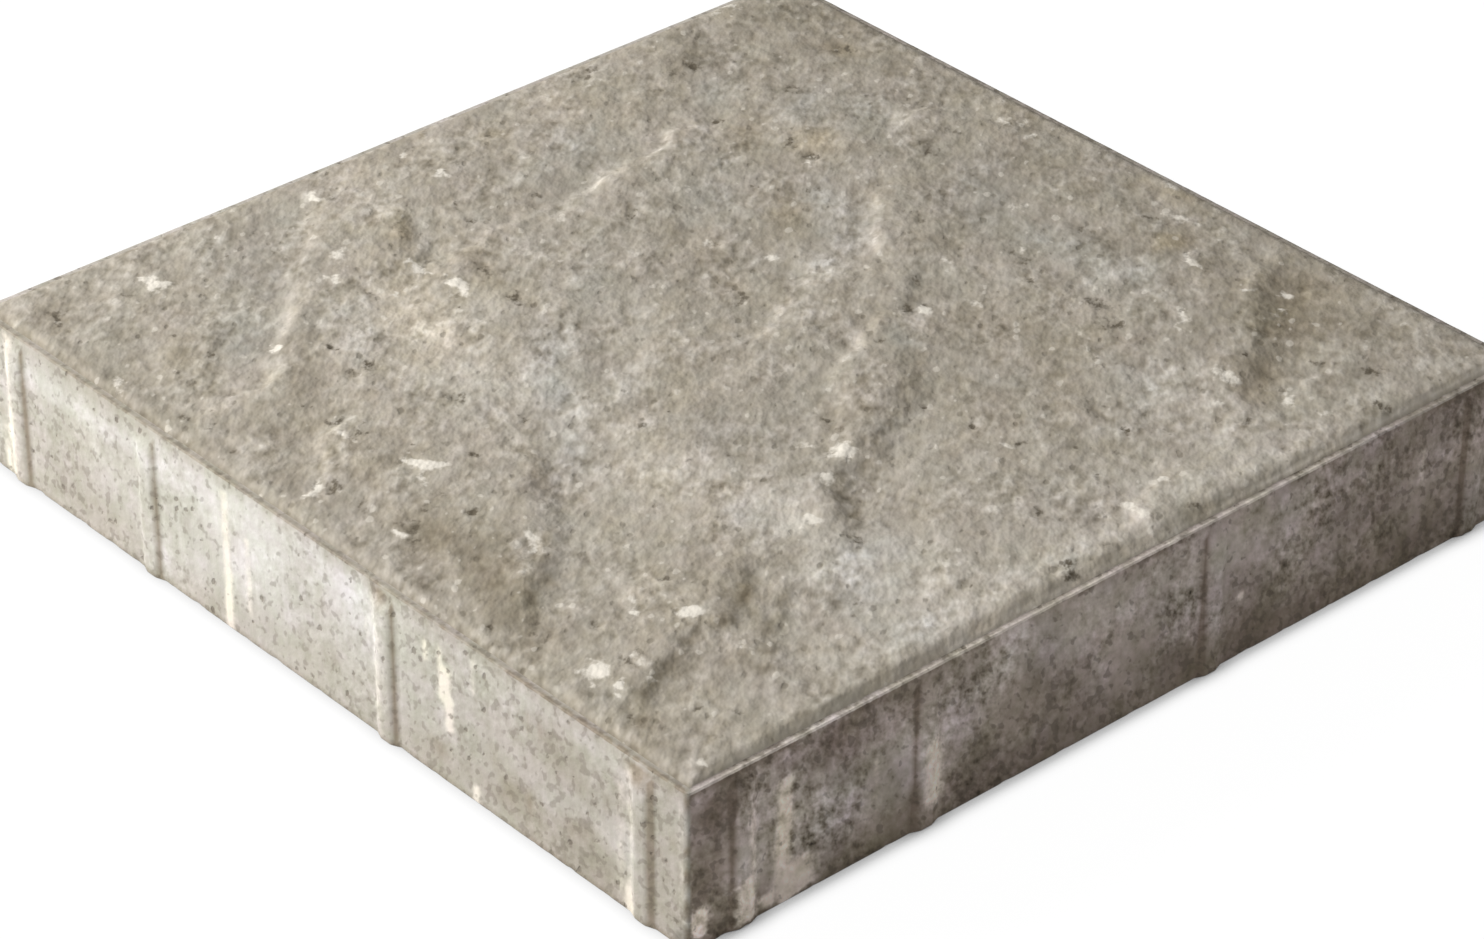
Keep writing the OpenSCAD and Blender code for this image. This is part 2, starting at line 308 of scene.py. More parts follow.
# Pale chips and broken sand grains: x, y, length, width, all mm, direction in degrees, and strength
chips = [
    (-169, -141, 11, 5, 10, 1), (-166, -138, 4, 4, 0, .8), (-6, -145, 11, 5, 15, 1),
    (2, -151, 5, 3, -20, .7), (128, -136, 6, 4.5, 20, 1), (130, -179, 9, 7, 0, 1),
    (136, -186, 4, 3, 0, .6), (143, -179, 5, 3, -20, .8), (145, -184, 5, 2, -30, .5),
    (-114, -61, 9, 3, -5, 1), (-93, -58, 11, 4, -15, 1), (-180, -58, 8, 3, -20, .9),
    (-163, -11, 6, 3, -45, 1), (-185, -12, 5, 3, 0, .5), (140, 108, 12, 5, 0, .7),
    (164, 115, 6, 4, -20, .9), (150, 93, 4, 3, 0, .7), (113, 168, 4, 5, -60, .7),
    (120, 158, 3, 4, 0, .6), (101, 126, 9, 4, -30, .6), (107, 120, 6, 3, -40, .5),
    (178, 22, 11, 4, 0, .8), (172, 44, 6, 3, -40, .6), (86, -28, 9, 7, -40, .9), (95, -45, 5, 4, 0, .7),
    (112, -68, 5, 4, -60, .9), (73, -36, 8, 3, 10, .5), (34, 60, 6, 3.5, -10, 1),
    (-197, 163, 9, 9, 0, .8), (-196, 157, 8, 4, -30, .5), (-20, -180, 8, 3.5, -45, .9),
    (-17, -187, 3, 4, 0, .7), (181, 118, 6, 5, 0, .5), (108, -145, 6, 4, -30, .5),
    (113, -150, 4, 3, 0, .6), (-138, -79, 7, 4, -60, .7), (-126, -90, 4, 3, 0, .8),
    (57, -146, 8, 3, -20, .7), (62, -151, 5, 3, -60, .6), (70, -161, 6, 3, -40, .5),
    (-102, -136, 6, 3, -45, .9), (-38, -155, 6, 3.5, 0, .7), (-103, -80, 5, 2, -30, .6),
    (76, 157, 10, 3, -15, .7), (48, 178, 12, 5, 15, .6), (27, 195, 8, 3, 0, .6),
    (-50, 181, 7, 3, -15, .6), (-45, 186, 3, 6, 0, .4), (-63, 193, 5, 4, -30, .5),
    (-34, 180, 6, 4, -50, .5), (14, 90, 5, 3, -40, .5), (42, 77, 5, 3, 0, .6), (2, 138, 6, 5, -30, .5),
    (105, 157, 4, 5, 0, .5), (152, -135, 4, 3, -30, .5), (191, -186, 3, 3, 0, .9),
    (26, 117, 5, 3, -30, .5), (-32, 44, 4, 3, 0, .8), (-153, 22, 4, 5, -40, .4), (-55, 31, 6, 4, 0, .5),
    (120, 17, 4, 4, 0, .5), (-76, 101, 5, 3, -30, .6), (23, -177, 5, 2.5, -20, .8),
    (-120, -193, 10, 3, -30, .5), (136, -166, 8, 3, -20, .5), (146, -170, 7, 3, -50, .5),
]

# Soft clouds: x, y, half length, half width, all mm, direction in degrees, how pale (-1 to 1) and
# how brown (1) or grey (-1). They are the cement's own clouds, and in places painted light and
# shade of broad facets of the split face.
clouds = [
    (0, 140, 150, 40, 0, -.25, 0), (-150, -50, 60, 20, -25, .35, .2), (-60, -84, 50, 26, -8, .5, .2),
    (60, -74, 60, 20, 0, .45, .1), (150, -76, 60, 24, 0, .42, -.2), (125, 165, 34, 26, -60, -.35, .3),
    (-20, 168, 60, 18, 0, -.3, .1), (60, -172, 60, 18, -10, -.5, .2), (60, 70, 30, 16, -50, -.3, .1),
    (120, -120, 40, 16, -30, -.3, .2), (-160, 150, 50, 30, -40, -.3, .1),
    (-50, 20, 40, 14, -30, -.25, 0), (-110, 185, 40, 14, 0, -.35, .2), (-60, 192, 30, 9, 0, -.2, .3),
    (-138, 173, 14, 7, 0, -.4, .9), (-112, 132, 20, 11, -50, 0, -1), (-92, 142, 20, 12, -50, .05, -.9),
    (-146, 112, 18, 9, -45, .05, -.8), (-86, 115, 14, 14, -60, -.05, 1.2),
    (-110, 98, 14, 8, -60, -.15, .8), (-55, 90, 16, 9, -40, 0, -.9), (-52, 69, 15, 8, -40, -.5, 1),
    (-14, 136, 28, 15, -40, -.05, -.9), (-8, 110, 16, 6, 0, -.4, .2), (-28, 78, 20, 12, -45, .2, -.8),
    (-16, 54, 14, 10, 0, .45, -.4), (-80, 55, 26, 14, -45, -.1, -.8),
    (-142, 44, 22, 13, -45, -.15, -.8), (-124, 20, 16, 10, 0, -.25, -.6), (-172, 62, 26, 20, 0, .1, .3),
    (-175, 24, 9, 8, 0, -.3, .8), (-50, 28, 20, 10, -30, -.15, .5), (-20, 20, 14, 10, 0, -.25, .4),
    (30, 130, 28, 11, 10, 0, -1), (66, 134, 18, 14, 60, .15, -.8), (46, 112, 22, 7, 0, -.25, -.3),
    (32, 190, 22, 8, 0, .05, .8), (58, 163, 9, 7, -45, -.3, 2.2), (92, 164, 30, 12, -40, .3, .3),
    (114, 174, 26, 17, -60, -.5, .4), (130, 150, 22, 15, -50, -.45, .4),
    (149, 118, 17, 8, -50, -.35, .9), (146, 99, 14, 8, 20, .35, -.3), (166, 84, 26, 17, -30, .5, .1),
    (124, 80, 22, 14, -30, .2, -.4), (85, 75, 28, 10, -35, -.45, .4), (92, 96, 16, 9, -30, -.2, .4),
    (16, 71, 14, 5, -45, -.5, -.6), (90, 48, 18, 9, 0, -.1, -.6), (45, 38, 9, 7, 0, .1, -.9),
    (60, 20, 18, 14, -45, -.15, .1), (58, -6, 34, 9, -38, -.45, 0), (84, 4, 30, 8, -62, .4, 0),
    (120, 40, 20, 20, 0, .1, .1), (165, 5, 28, 26, 0, .3, 0), (184, 10, 110, 7, 90, .75, 0),
    (183, 158, 30, 7, 90, .45, 0), (189, 92, 30, 6, 90, .7, 0), (193, -45, 50, 5, 90, .4, 0),
    (-180, -30, 22, 11, 0, -.15, .2), (-138, -50, 16, 5, -40, -.5, .7), (-98, -42, 20, 9, -30, -.3, .7),
    (-74, -46, 14, 7, 0, -.2, .4), (-60, -20, 28, 11, -40, 0, -.8), (-110, -75, 30, 12, -20, .35, .4),
    (-74, -90, 36, 14, -25, .65, .5), (-90, -106, 22, 10, -30, .3, -.3),
    (-30, -64, 28, 12, -30, -.1, -.9), (-10, -80, 15, 9, 0, .4, -1), (-36, -100, 26, 14, -20, .45, -.3),
    (-10, -86, 22, 16, 0, .35, 0), (-80, -108, 26, 12, -20, .35, 0),
    (-150, -108, 36, 20, -45, -.3, -.6), (172, -70, 24, 26, 0, .35, 0), (180, -30, 14, 26, 0, .3, 0),
    (126, 86, 22, 12, -30, .4, 0), (60, 60, 16, 20, -40, -.3, .1), (-160, 190, 34, 16, 0, -.5, .2),
    (-165, 110, 26, 14, -40, -.4, .1), (-100, 0, 30, 12, 0, -.2, 0), (116, -142, 26, 16, -30, -.35, .1),
    (58, -178, 34, 14, -10, -.1, .1), (-92, -192, 44, 8, 0, -.3, 0), (-120, -130, 8, 22, 40, .3, 0),
    (96, 45, 18, 30, -20, -.35, .1), (-165, 85, 30, 20, -40, -.3, .1), (160, 75, 34, 12, -20, .3, 0),
    (100, -70, 26, 14, 0, .3, 0), (-85, -4, 34, 10, 0, -.25, 0), (-96, -116, 34, 14, -25, .3, 0),
    (-176, -80, 24, 12, -35, -.1, -.3), (-112, -140, 16, 12, -40, -.25, -.9),
    (-75, -135, 28, 13, -30, -.3, .3), (-56, -160, 24, 15, -30, -.3, .3),
    (-150, -176, 26, 12, -20, -.35, -.4), (-175, -182, 15, 8, -40, -.4, .5),
    (-120, -165, 20, 12, 0, -.15, .3), (-90, -191, 42, 7, 0, -.1, 0), (-140, -192, 44, 7, 0, -.5, 0),
    (-18, -152, 22, 15, 0, -.35, .3), (18, -44, 17, 12, 0, -.25, .5), (-18, -38, 14, 14, 0, .3, 0),
    (46, -54, 20, 10, -40, -.2, -.7), (-2, -54, 15, 10, 0, .45, -.4), (30, -5, 20, 10, 0, .15, -.1),
    (55, -88, 36, 14, -20, .5, .3), (20, -98, 22, 10, -25, .2, -.8), (100, -74, 16, 11, -45, .45, 0),
    (93, -82, 11, 7, 0, .3, -.7), (98, -24, 11, 8, -50, -.4, .1), (138, -60, 16, 12, -60, .35, -.8),
    (155, -84, 24, 12, -30, .4, -.6), (172, 18, 10, 12, 0, .6, 0), (-70, -136, 38, 8, -45, .4, 0),
    (-104, -124, 22, 7, -42, -.4, 0), (73, -161, 14, 10, -45, .6, 0), (-17, -93, 12, 10, 0, .3, 0),
    (-30, -75, 25, 18, -45, .25, 0), (36, -12, 12, 10, 0, .5, 0), (112, -74, 16, 10, 20, .5, 0),
    (62, 134, 16, 10, 60, .6, 0), (132, 90, 18, 10, -20, .3, 0), (-66, 160, 8, 20, 0, .45, 0),
    (-79, 40, 12, 10, 0, .25, 0), (-186, 182, 16, 14, 0, -.35, 0), (-135, 165, 25, 12, 0, -.25, 0),
    (-79, 100, 16, 12, 0, -.25, 0), (15, 92, 14, 14, 0, -.25, 0), (85, 160, 26, 8, -30, -.7, 0),
    (143, 165, 12, 14, -45, -.3, 0), (140, 112, 14, 10, -60, -.35, 0), (30, 60, 10, 8, 0, -.35, 0),
    (96, 30, 12, 20, -60, -.3, 0), (77, -24, 8, 6, 0, -.4, 0), (-155, -150, 25, 12, -20, -.3, 0),
    (-22, -182, 20, 8, 0, -.35, 0), (38, -170, 14, 10, 0, -.35, 0), (112, -165, 16, 12, 0, -.35, 0),
    (-178, -55, 12, 16, 0, -.25, 0), (183, -88, 24, 7, 90, .4, -.5), (176, -48, 26, 12, 90, .45, .1),
    (145, -25, 24, 14, 0, .15, .1), (123, -82, 12, 9, -60, -.3, .3), (131, -112, 14, 7, -40, -.35, .4),
    (82, -120, 36, 12, -20, .1, .1), (72, -172, 32, 13, -30, -.4, .3), (30, -168, 26, 13, 0, -.4, .3),
    (97, -186, 20, 7, -20, -.25, .1), (150, -160, 22, 13, -40, -.25, .2),
    (160, -186, 15, 6, -30, -.35, .3),
]

reliefForm = {
    "ledgeReach": 8,             # how far a ledge lifts the ground, in widths of its break
    "raggedSize": 9 * mm,        # how the marks' edges wander
    "raggedBy": 2.6 * mm,
    "hackleSize": 17 * mm,       # split surface between the ledges
    "hackleHeight": 0.30 * mm,
    "scaleSize": 8 * mm,         # small scales on it
    "scaleHeight": 0.27 * mm,
    "sandSize": 4.5 * mm,        # coarse sand showing in the skin
    "sandHeight": 0.2 * mm,
    "crumble": 1.6,              # how much rougher the ledges are
    "grainDir": -48,             # degrees from +X
    "grainStretch": 1.5,
    "pitDepth": 0.6 * mm,
    "chipHeight": 0.25 * mm,
    "calmEdge": 6 * mm,          # the relief fades out over this towards the rim
}

slopeForm = {                    # the worn slope down to the rim along +X, painted darker as shade where it faces away from the lamp
    "width": 4 * mm,
    "belly": 4 * mm,             # what it gains in width towards its middle
    "bellyAt": -40 * mm,
    "bellySpan": 80 * mm,
    "dirt": 2.2 * mm,            # width of the painted shade and dirt at the foot of the face
    "stepFrom": 50 * mm,         # a painted highlight of a low step in the slope begins here
    "stepFade": 20 * mm,
    "stepAt": 1.5 * mm,          # that painted highlight, from the rim
    "stepEdge": 0.8 * mm,
}


def warpedNoise(x, y, size, turn=0, stretch=1, octaves=3, seed=0.0):  # about -1 to 1
    c, s = math.cos(math.radians(turn)), math.sin(math.radians(turn))
    u, v = (x * c + y * s) / (size * stretch), (y * c - x * s) / size
    return np.array([noise.fractal(Vector((a, b, seed)), 1, 2, octaves) for a, b in zip(u, v)])


def lineField(x, y, line):  # distance to the line, its side (1 is left), share of its length
    pts = [np.array(p, float) for p in line]
    spans = [np.linalg.norm(b - a) for a, b in zip(pts, pts[1:])]
    best = np.full(x.shape, 1e9)
    side = np.ones_like(best)
    along = np.zeros_like(best)
    run = 0
    for a, b, span in zip(pts, pts[1:], spans):
        ux, uy = (b - a) / span
        wx, wy = x - a[0], y - a[1]
        t = np.clip(wx * ux + wy * uy, 0, span)
        away = np.hypot(wx - t * ux, wy - t * uy)
        nearer = away < best
        side = np.where(nearer, np.where(ux * wy - uy * wx < 0, -1, 1), side)
        along = np.where(nearer, (run + t) / sum(spans), along)
        best = np.where(nearer, away, best)
        run += span
    return best, side, along


def markField(x, y, cx, cy, length, width, direction):  # distance in half widths of the mark
    c, s = math.cos(math.radians(direction)), math.sin(math.radians(direction))
    dx, dy = x - cx, y - cy
    return 2 * np.hypot((dx * c + dy * s) / length, (dy * c - dx * s) / width)


def readFrame(x, y, blur):  # height of the CAD slab's top, averaged over a small ring
    node = frame["nodes"]["slab"]
    tree = BVHTree.FromPolygons([v.co for v in node.data.vertices],
                                [p.vertices[:] for p in node.data.polygons])
    down = Vector((0, 0, -1))
    out = np.empty_like(x)
    for i, (px, py, b) in enumerate(zip(x, y, blur)):
        total = 0
        for dx, dy in ((b, 0), (b / 2, b * 0.87), (-b / 2, b * 0.87), (-b, 0), (-b / 2, -b * 0.87),
                       (b / 2, -b * 0.87)):
            hit = tree.ray_cast(Vector((px + dx, py + dy, 1)), down)[0]
            total += hit.z if hit else slabForm["rimHeight"]
        out[i] = total / 6
    return out


def shapeTop(points, count):
    form = reliefForm
    x, y = points[:count, 0], points[:count, 1]
    inner = face - np.maximum(abs(x), abs(y))
    sway = form["raggedBy"] * warpedNoise(x, y, form["raggedSize"], 0, 1, 3, 51.0)
    swerve = form["raggedBy"] * warpedNoise(x, y, form["raggedSize"], 0, 1, 3, 53.0)
    hold = easeStep(inner / (8 * mm))
    soft = (3.6 + 4 * warpedNoise(x, y, 12 * mm, 0, 1, 1, 57.0)) * mm
    soft = np.minimum(np.clip(soft, 2 * mm, 7 * mm), 0.05 * mm + 0.25 * inner)
    base = readFrame(x + hold * sway, y + hold * swerve, soft)
    mx, my = (x + sway) / mm / spreadOut, (y + swerve) / mm / spreadOut
    broken = np.clip(0.65 + 1.2 * warpedNoise(x, y, 10 * mm, 0, 1, 2, 55.0), 0, 1.5)
    cut, tone, brown = np.zeros_like(x), np.zeros_like(x), np.zeros_like(x)
    crumbled = np.zeros_like(x)
    for height, width, pale, spread, line in ledges:
        away, side, along = lineField(mx, my, line)
        t = side * away / width
        ends = easeStep(6 * along) * easeStep(6 * (1 - along))
        fade = np.exp(-(away / (form["ledgeReach"] * width)) ** 2)
        cut += 0.5 * height * mm * ends * fade * t / np.sqrt(1 + t * t)
        # Laitance and painted light along scarps that face the lamp, dirt and painted shade along those
        # that face away
        band = pale * ends * broken * np.exp(-(1.4 * away / spread) ** 2)
        tone += 1.9 * band
        brown += np.abs(band) * (0.3 if pale > 0 else 0.6)
        crumbled = np.maximum(crumbled, ends * abs(height) * np.exp(-(away / 6) ** 2))
    # The cement's own clouds, and in places painted light and shade of broad facets
    for cx, cy, length, width, direction, pale, hue in clouds:
        soft = np.exp(-0.35 * markField(mx, my, cx, cy, length, width, direction) ** 2)
        tone += 2.2 * pale * soft
        brown += 1.05 * hue * soft
    stretch = form["grainStretch"]
    hackle = np.tanh(1.6 * warpedNoise(x, y, form["hackleSize"], form["grainDir"], stretch, 2, 3.1))
    scales = np.tanh(1.6 * warpedNoise(x, y, form["scaleSize"], form["grainDir"], stretch, 2, 7.7))
    sand = warpedNoise(x, y, form["sandSize"], 0, 1, 2, 12.3)
    rough = (form["hackleHeight"] * hackle + form["scaleHeight"] * scales + form["sandHeight"] * sand)
    rough *= 1 + form["crumble"] * crumbled
    ragged = 1 + 0.6 * warpedNoise(x, y, 3.4 * mm, 0, 1, 2, 21.5)
    pit, chip = np.zeros_like(x), np.zeros_like(x)
    for cx, cy, length, width, direction, depth in pits:
        away = markField(mx, my, cx, cy, length, width, direction) * ragged
        pit = np.maximum(pit, depth * np.exp(-0.7 * away ** 2))
    for cx, cy, length, width, direction, strength in chips:
        away = markField(mx, my, cx, cy, length, width, direction) * ragged
        chip = np.maximum(chip, strength * np.exp(-0.7 * away ** 2))
    quiet = 0.15 + 0.85 * easeStep(inner / form["calmEdge"])
    edge = easeStep(inner / (0.5 * mm))
    marks = form["chipHeight"] * chip - form["pitDepth"] * pit
    z = base + edge * (quiet * (cut + rough) + marks)
    points[:count, 2] = np.clip(z, slabForm["rimHeight"] + 0.1 * mm, high.z - 0.02 * mm)
    tone += 0.25 * hackle + 0.15 * scales
    slope = slopeForm
    belly = slope["belly"] * np.exp(-((y - slope["bellyAt"]) / slope["bellySpan"]) ** 2)
    smooth = easeStep(1.8 * (1 - inner / (slope["width"] + belly + sway))) * (x > abs(y))
    stepped = smooth * easeStep((y - slope["stepFrom"]) / slope["stepFade"])
    # Painted shade and dirt in the crease at the foot of the riven face, all round
    foot = np.where(y < -abs(x), 1.6, 1.4) * (1 - smooth) + stepped
    tone -= foot * easeStep(1 - inner / slope["dirt"])
    # Painted highlight of a low step in the slope
    tone += 1.8 * stepped * np.exp(-((inner - slope["stepAt"]) / slope["stepEdge"]) ** 2)
    # Along +X the slope is painted darker, painted shade where it faces away from the lamp, and lighter
    # right by the rim
    tone += smooth * (0.4 - 1.4 * easeStep((inner - 1 * mm) / (3 * mm))) + 0.6 * stepped
    brown += 0.3 * smooth
    return {"tone": tone, "brown": brown, "pit": pit, "chip": chip, "smooth": smooth}


# Marks on the sides: side (0 is -Y, then anticlockwise), place along it, width, lower and upper
# end, all mm, and how pale (lime run down the mould) or how dark (below 0, dirt and lost skin)
runs = [
    (0, -49, 3.6, 0, 58, .6), (0, -49, 4, 0, 26, .9), (0, -36, 2.4, 12, 44, .45),
    (0, 74, 4.6, 34, 47, 1.2), (0, 76.5, 3.4, 22, 36, 1), (0, 72, 2.4, 46, 54, .6),
    (0, 64, 2.6, 45, 54, .6), (0, 90, 3.2, 0, 6, .85), (0, 90, 2.4, 44, 60, .5),
    (0, 170, 4.2, 0, 11, 1.1), (0, 166, 4, 6, 50, .35), (0, -183, 7, 0, 22, .55),
    (0, -181, 5, 0, 62, .55), (0, 38, 6, 2, 60, .3), (0, 171, 4.6, 0, 60, .3), (0, -181, 3, 46, 62, .6),
    (0, -183, 2, 20, 30, .5), (0, 32, 2, 36, 46, .3), (0, -186, 3, 0, 10, .8), (0, 196, 1.2, 6, 60, .5),
    (0, 70, 7, 9, 15, -1), (0, 6, 5, 35, 47, -.8), (0, 119, 2.4, 44, 52, -.8),
    (0, 125, 2.2, 46, 54, -.7), (0, 119, 3, 10, 20, -.7), (0, 159, 3, 34, 40, -.8),
    (0, 63, 3, 36, 42, -.6), (0, -18, 3, 20, 26, -.6), (0, 12, 3, 14, 22, -.6),
    (0, -73, 2.4, 28, 36, -.6), (0, 100, 4, 18, 30, -.5), (0, 140, 5, 12, 22, -.5),
    (0, -188, 4, 24, 28, -.9), (0, 192, 3, 38, 42, -.7), (0, 186, 3, 30, 34, -.5),
    (0, -182, 4, 59, 61, -.7), (0, 175, 9, 55, 61, -2.4), (0, 40, 8, 55, 62, -2.4),
    (0, -96, 9, 58, 60, -.6), (1, -158, 5, 0, 50, 1), (1, -154, 11, 2, 14, 1.5),
    (1, -160, 5, 8, 28, .8), (1, -176, 6, 2, 18, 1), (1, -173, 3.6, 16, 48, .5), (1, -167, 8, 2, 7, .9),
    (1, -92, 7, 9, 34, .9), (1, -92, 4, 14, 26, .8), (1, -196, 5, 4, 14, 1.4),
    (1, -191, 14, -2, 2, -2.5), (1, 195, 4, 0, 10, .8), (1, 57, 3, 24, 27, .9),
    (1, 150, 2.6, 32, 46, .4), (1, -118, 2.4, 22, 40, .4), (1, -194, 7, 16, 26, -.9),
    (1, -188, 10, 28, 56, -.5), (1, -132, 30, 44, 62, -.9), (1, -10, 18, 34, 56, -.6),
    (1, -36, 8, 30, 40, -.4), (1, -60, 34, 2, 12, -.6), (1, 90, 60, 0, 10, -.6),
    (1, 120, 26, 26, 46, -.4), (1, 60, 16, 10, 24, -.35), (2, -120, 3, 0, 50, .6),
    (2, 20, 4, 20, 60, .7), (2, 130, 3, 0, 30, .7), (2, -40, 14, 20, 44, -.5), (2, 90, 20, 4, 20, -.5),
    (2, -160, 6, 2, 12, .9), (3, -140, 4, 10, 60, .6), (3, -20, 3, 0, 44, .8), (3, 90, 5, 26, 60, .6),
    (3, 60, 16, 4, 24, -.5), (3, -70, 22, 30, 52, -.4), (3, 150, 4, 0, 12, .9),
]

# Smooth pale skin on the sides: side, place along it, height of its middle, half width and half
# height, all mm, and how pale (below 0, worn through to the coarser concrete)
skins = [
    (0, -62, 50, 24, 16, .5), (0, -24, 52, 56, 14, 1), (0, 32, 52, 36, 12, .35),
    (0, -28, 30, 24, 16, .5), (0, 22, 44, 24, 22, .75), (0, -60, 24, 30, 16, .4),
    (0, -140, 50, 44, 5, .9), (0, -150, 28, 22, 26, -.45), (0, -90, 50, 12, 14, .7),
    (0, -90, 10, 12, 10, .7), (0, 62, 44, 20, 16, .1), (0, 90, 46, 10, 14, .2),
    (0, 190, 30, 16, 40, -.8), (0, 116, 32, 44, 18, -.6), (0, 140, 10, 40, 14, -1),
    (0, 150, 44, 26, 14, -.7), (0, 70, 10, 30, 10, -.5), (0, -120, 8, 60, 7, -.3),
    (1, -125, 30, 40, 12, .35), (1, -34, 51, 50, 15, 1.2), (1, -185, 54, 12, 10, -.9),
    (1, -186, 30, 12, 26, .3), (1, 90, 44, 40, 20, .3), (1, 20, 50, 30, 14, .3),
    (1, 28, 36, 12, 16, .45), (1, -138, 20, 12, 14, .5), (1, 100, 54, 60, 10, .3),
    (1, -70, 52, 40, 10, .3), (1, 10, 38, 34, 22, .4), (1, 44, 30, 4.5, 34, .35),
    (1, 60, 52, 26, 14, .5), (1, -160, 32, 24, 34, .8), (1, -110, 30, 34, 16, .5),
    (1, -192, 34, 10, 24, -1.2), (1, -60, 8, 60, 10, -.8), (1, -20, 24, 50, 12, -.5),
    (1, 70, 7, 60, 12, -1.1), (1, 182, 14, 16, 14, .8), (1, 150, 34, 60, 34, -.5),
    (1, -130, 34, 70, 26, .5), (1, 165, 56, 26, 10, -.6), (1, -140, 56, 44, 12, -1),
    (2, 60, 50, 60, 18, .6), (2, -90, 30, 40, 16, .4), (2, -20, 12, 60, 12, -.5),
    (2, 150, 26, 40, 18, -.4), (3, -60, 50, 60, 14, .7), (3, 110, 34, 40, 18, .5),
    (3, 20, 12, 60, 10, -.4), (3, -150, 20, 40, 18, -.3),
]

sideForm = {
    "dip": 0.10 * mm,            # unevenness of the moulded sides
    "drag": 0.04 * mm,           # upright drag marks from the mould
    "skin": 0.05 * mm,
    "nibble": 0.9 * mm,          # small losses along the arrises
    "creaseWidth": 1.1 * mm,     # painted shade and dirt down one flank of a rib
    "paleLitFlankWidth": 2.6 * mm,     # painted highlight and pale laitance down its other flank
    "nick": 2.6 * mm,            # knock at the foot of the front corner
    "nickReach": 9 * mm,
    # One value for each side, from -Y going anticlockwise
    "brown": [0.0, 1.0, 0.6, 0.3],       # how brown its skin is
    "skinGain": [0.9, 1.2, 1.2, 1.2],    # how much its skin patches show
    # The rim and crease tones are painted shade and dirt, the flank tone below is a painted highlight
    # and laitance
    "rimTone": [-0.9, -0.3, -0.6, 0.0],
    "creaseTone": [-2.2, -3.2, -1.8, -1.8],
    "ribTone": [-0.1, 0.5, 0.0, 0.0],
    "paleLitFlankTone": [0.2, 0.2, 0.6, 0.6],
}


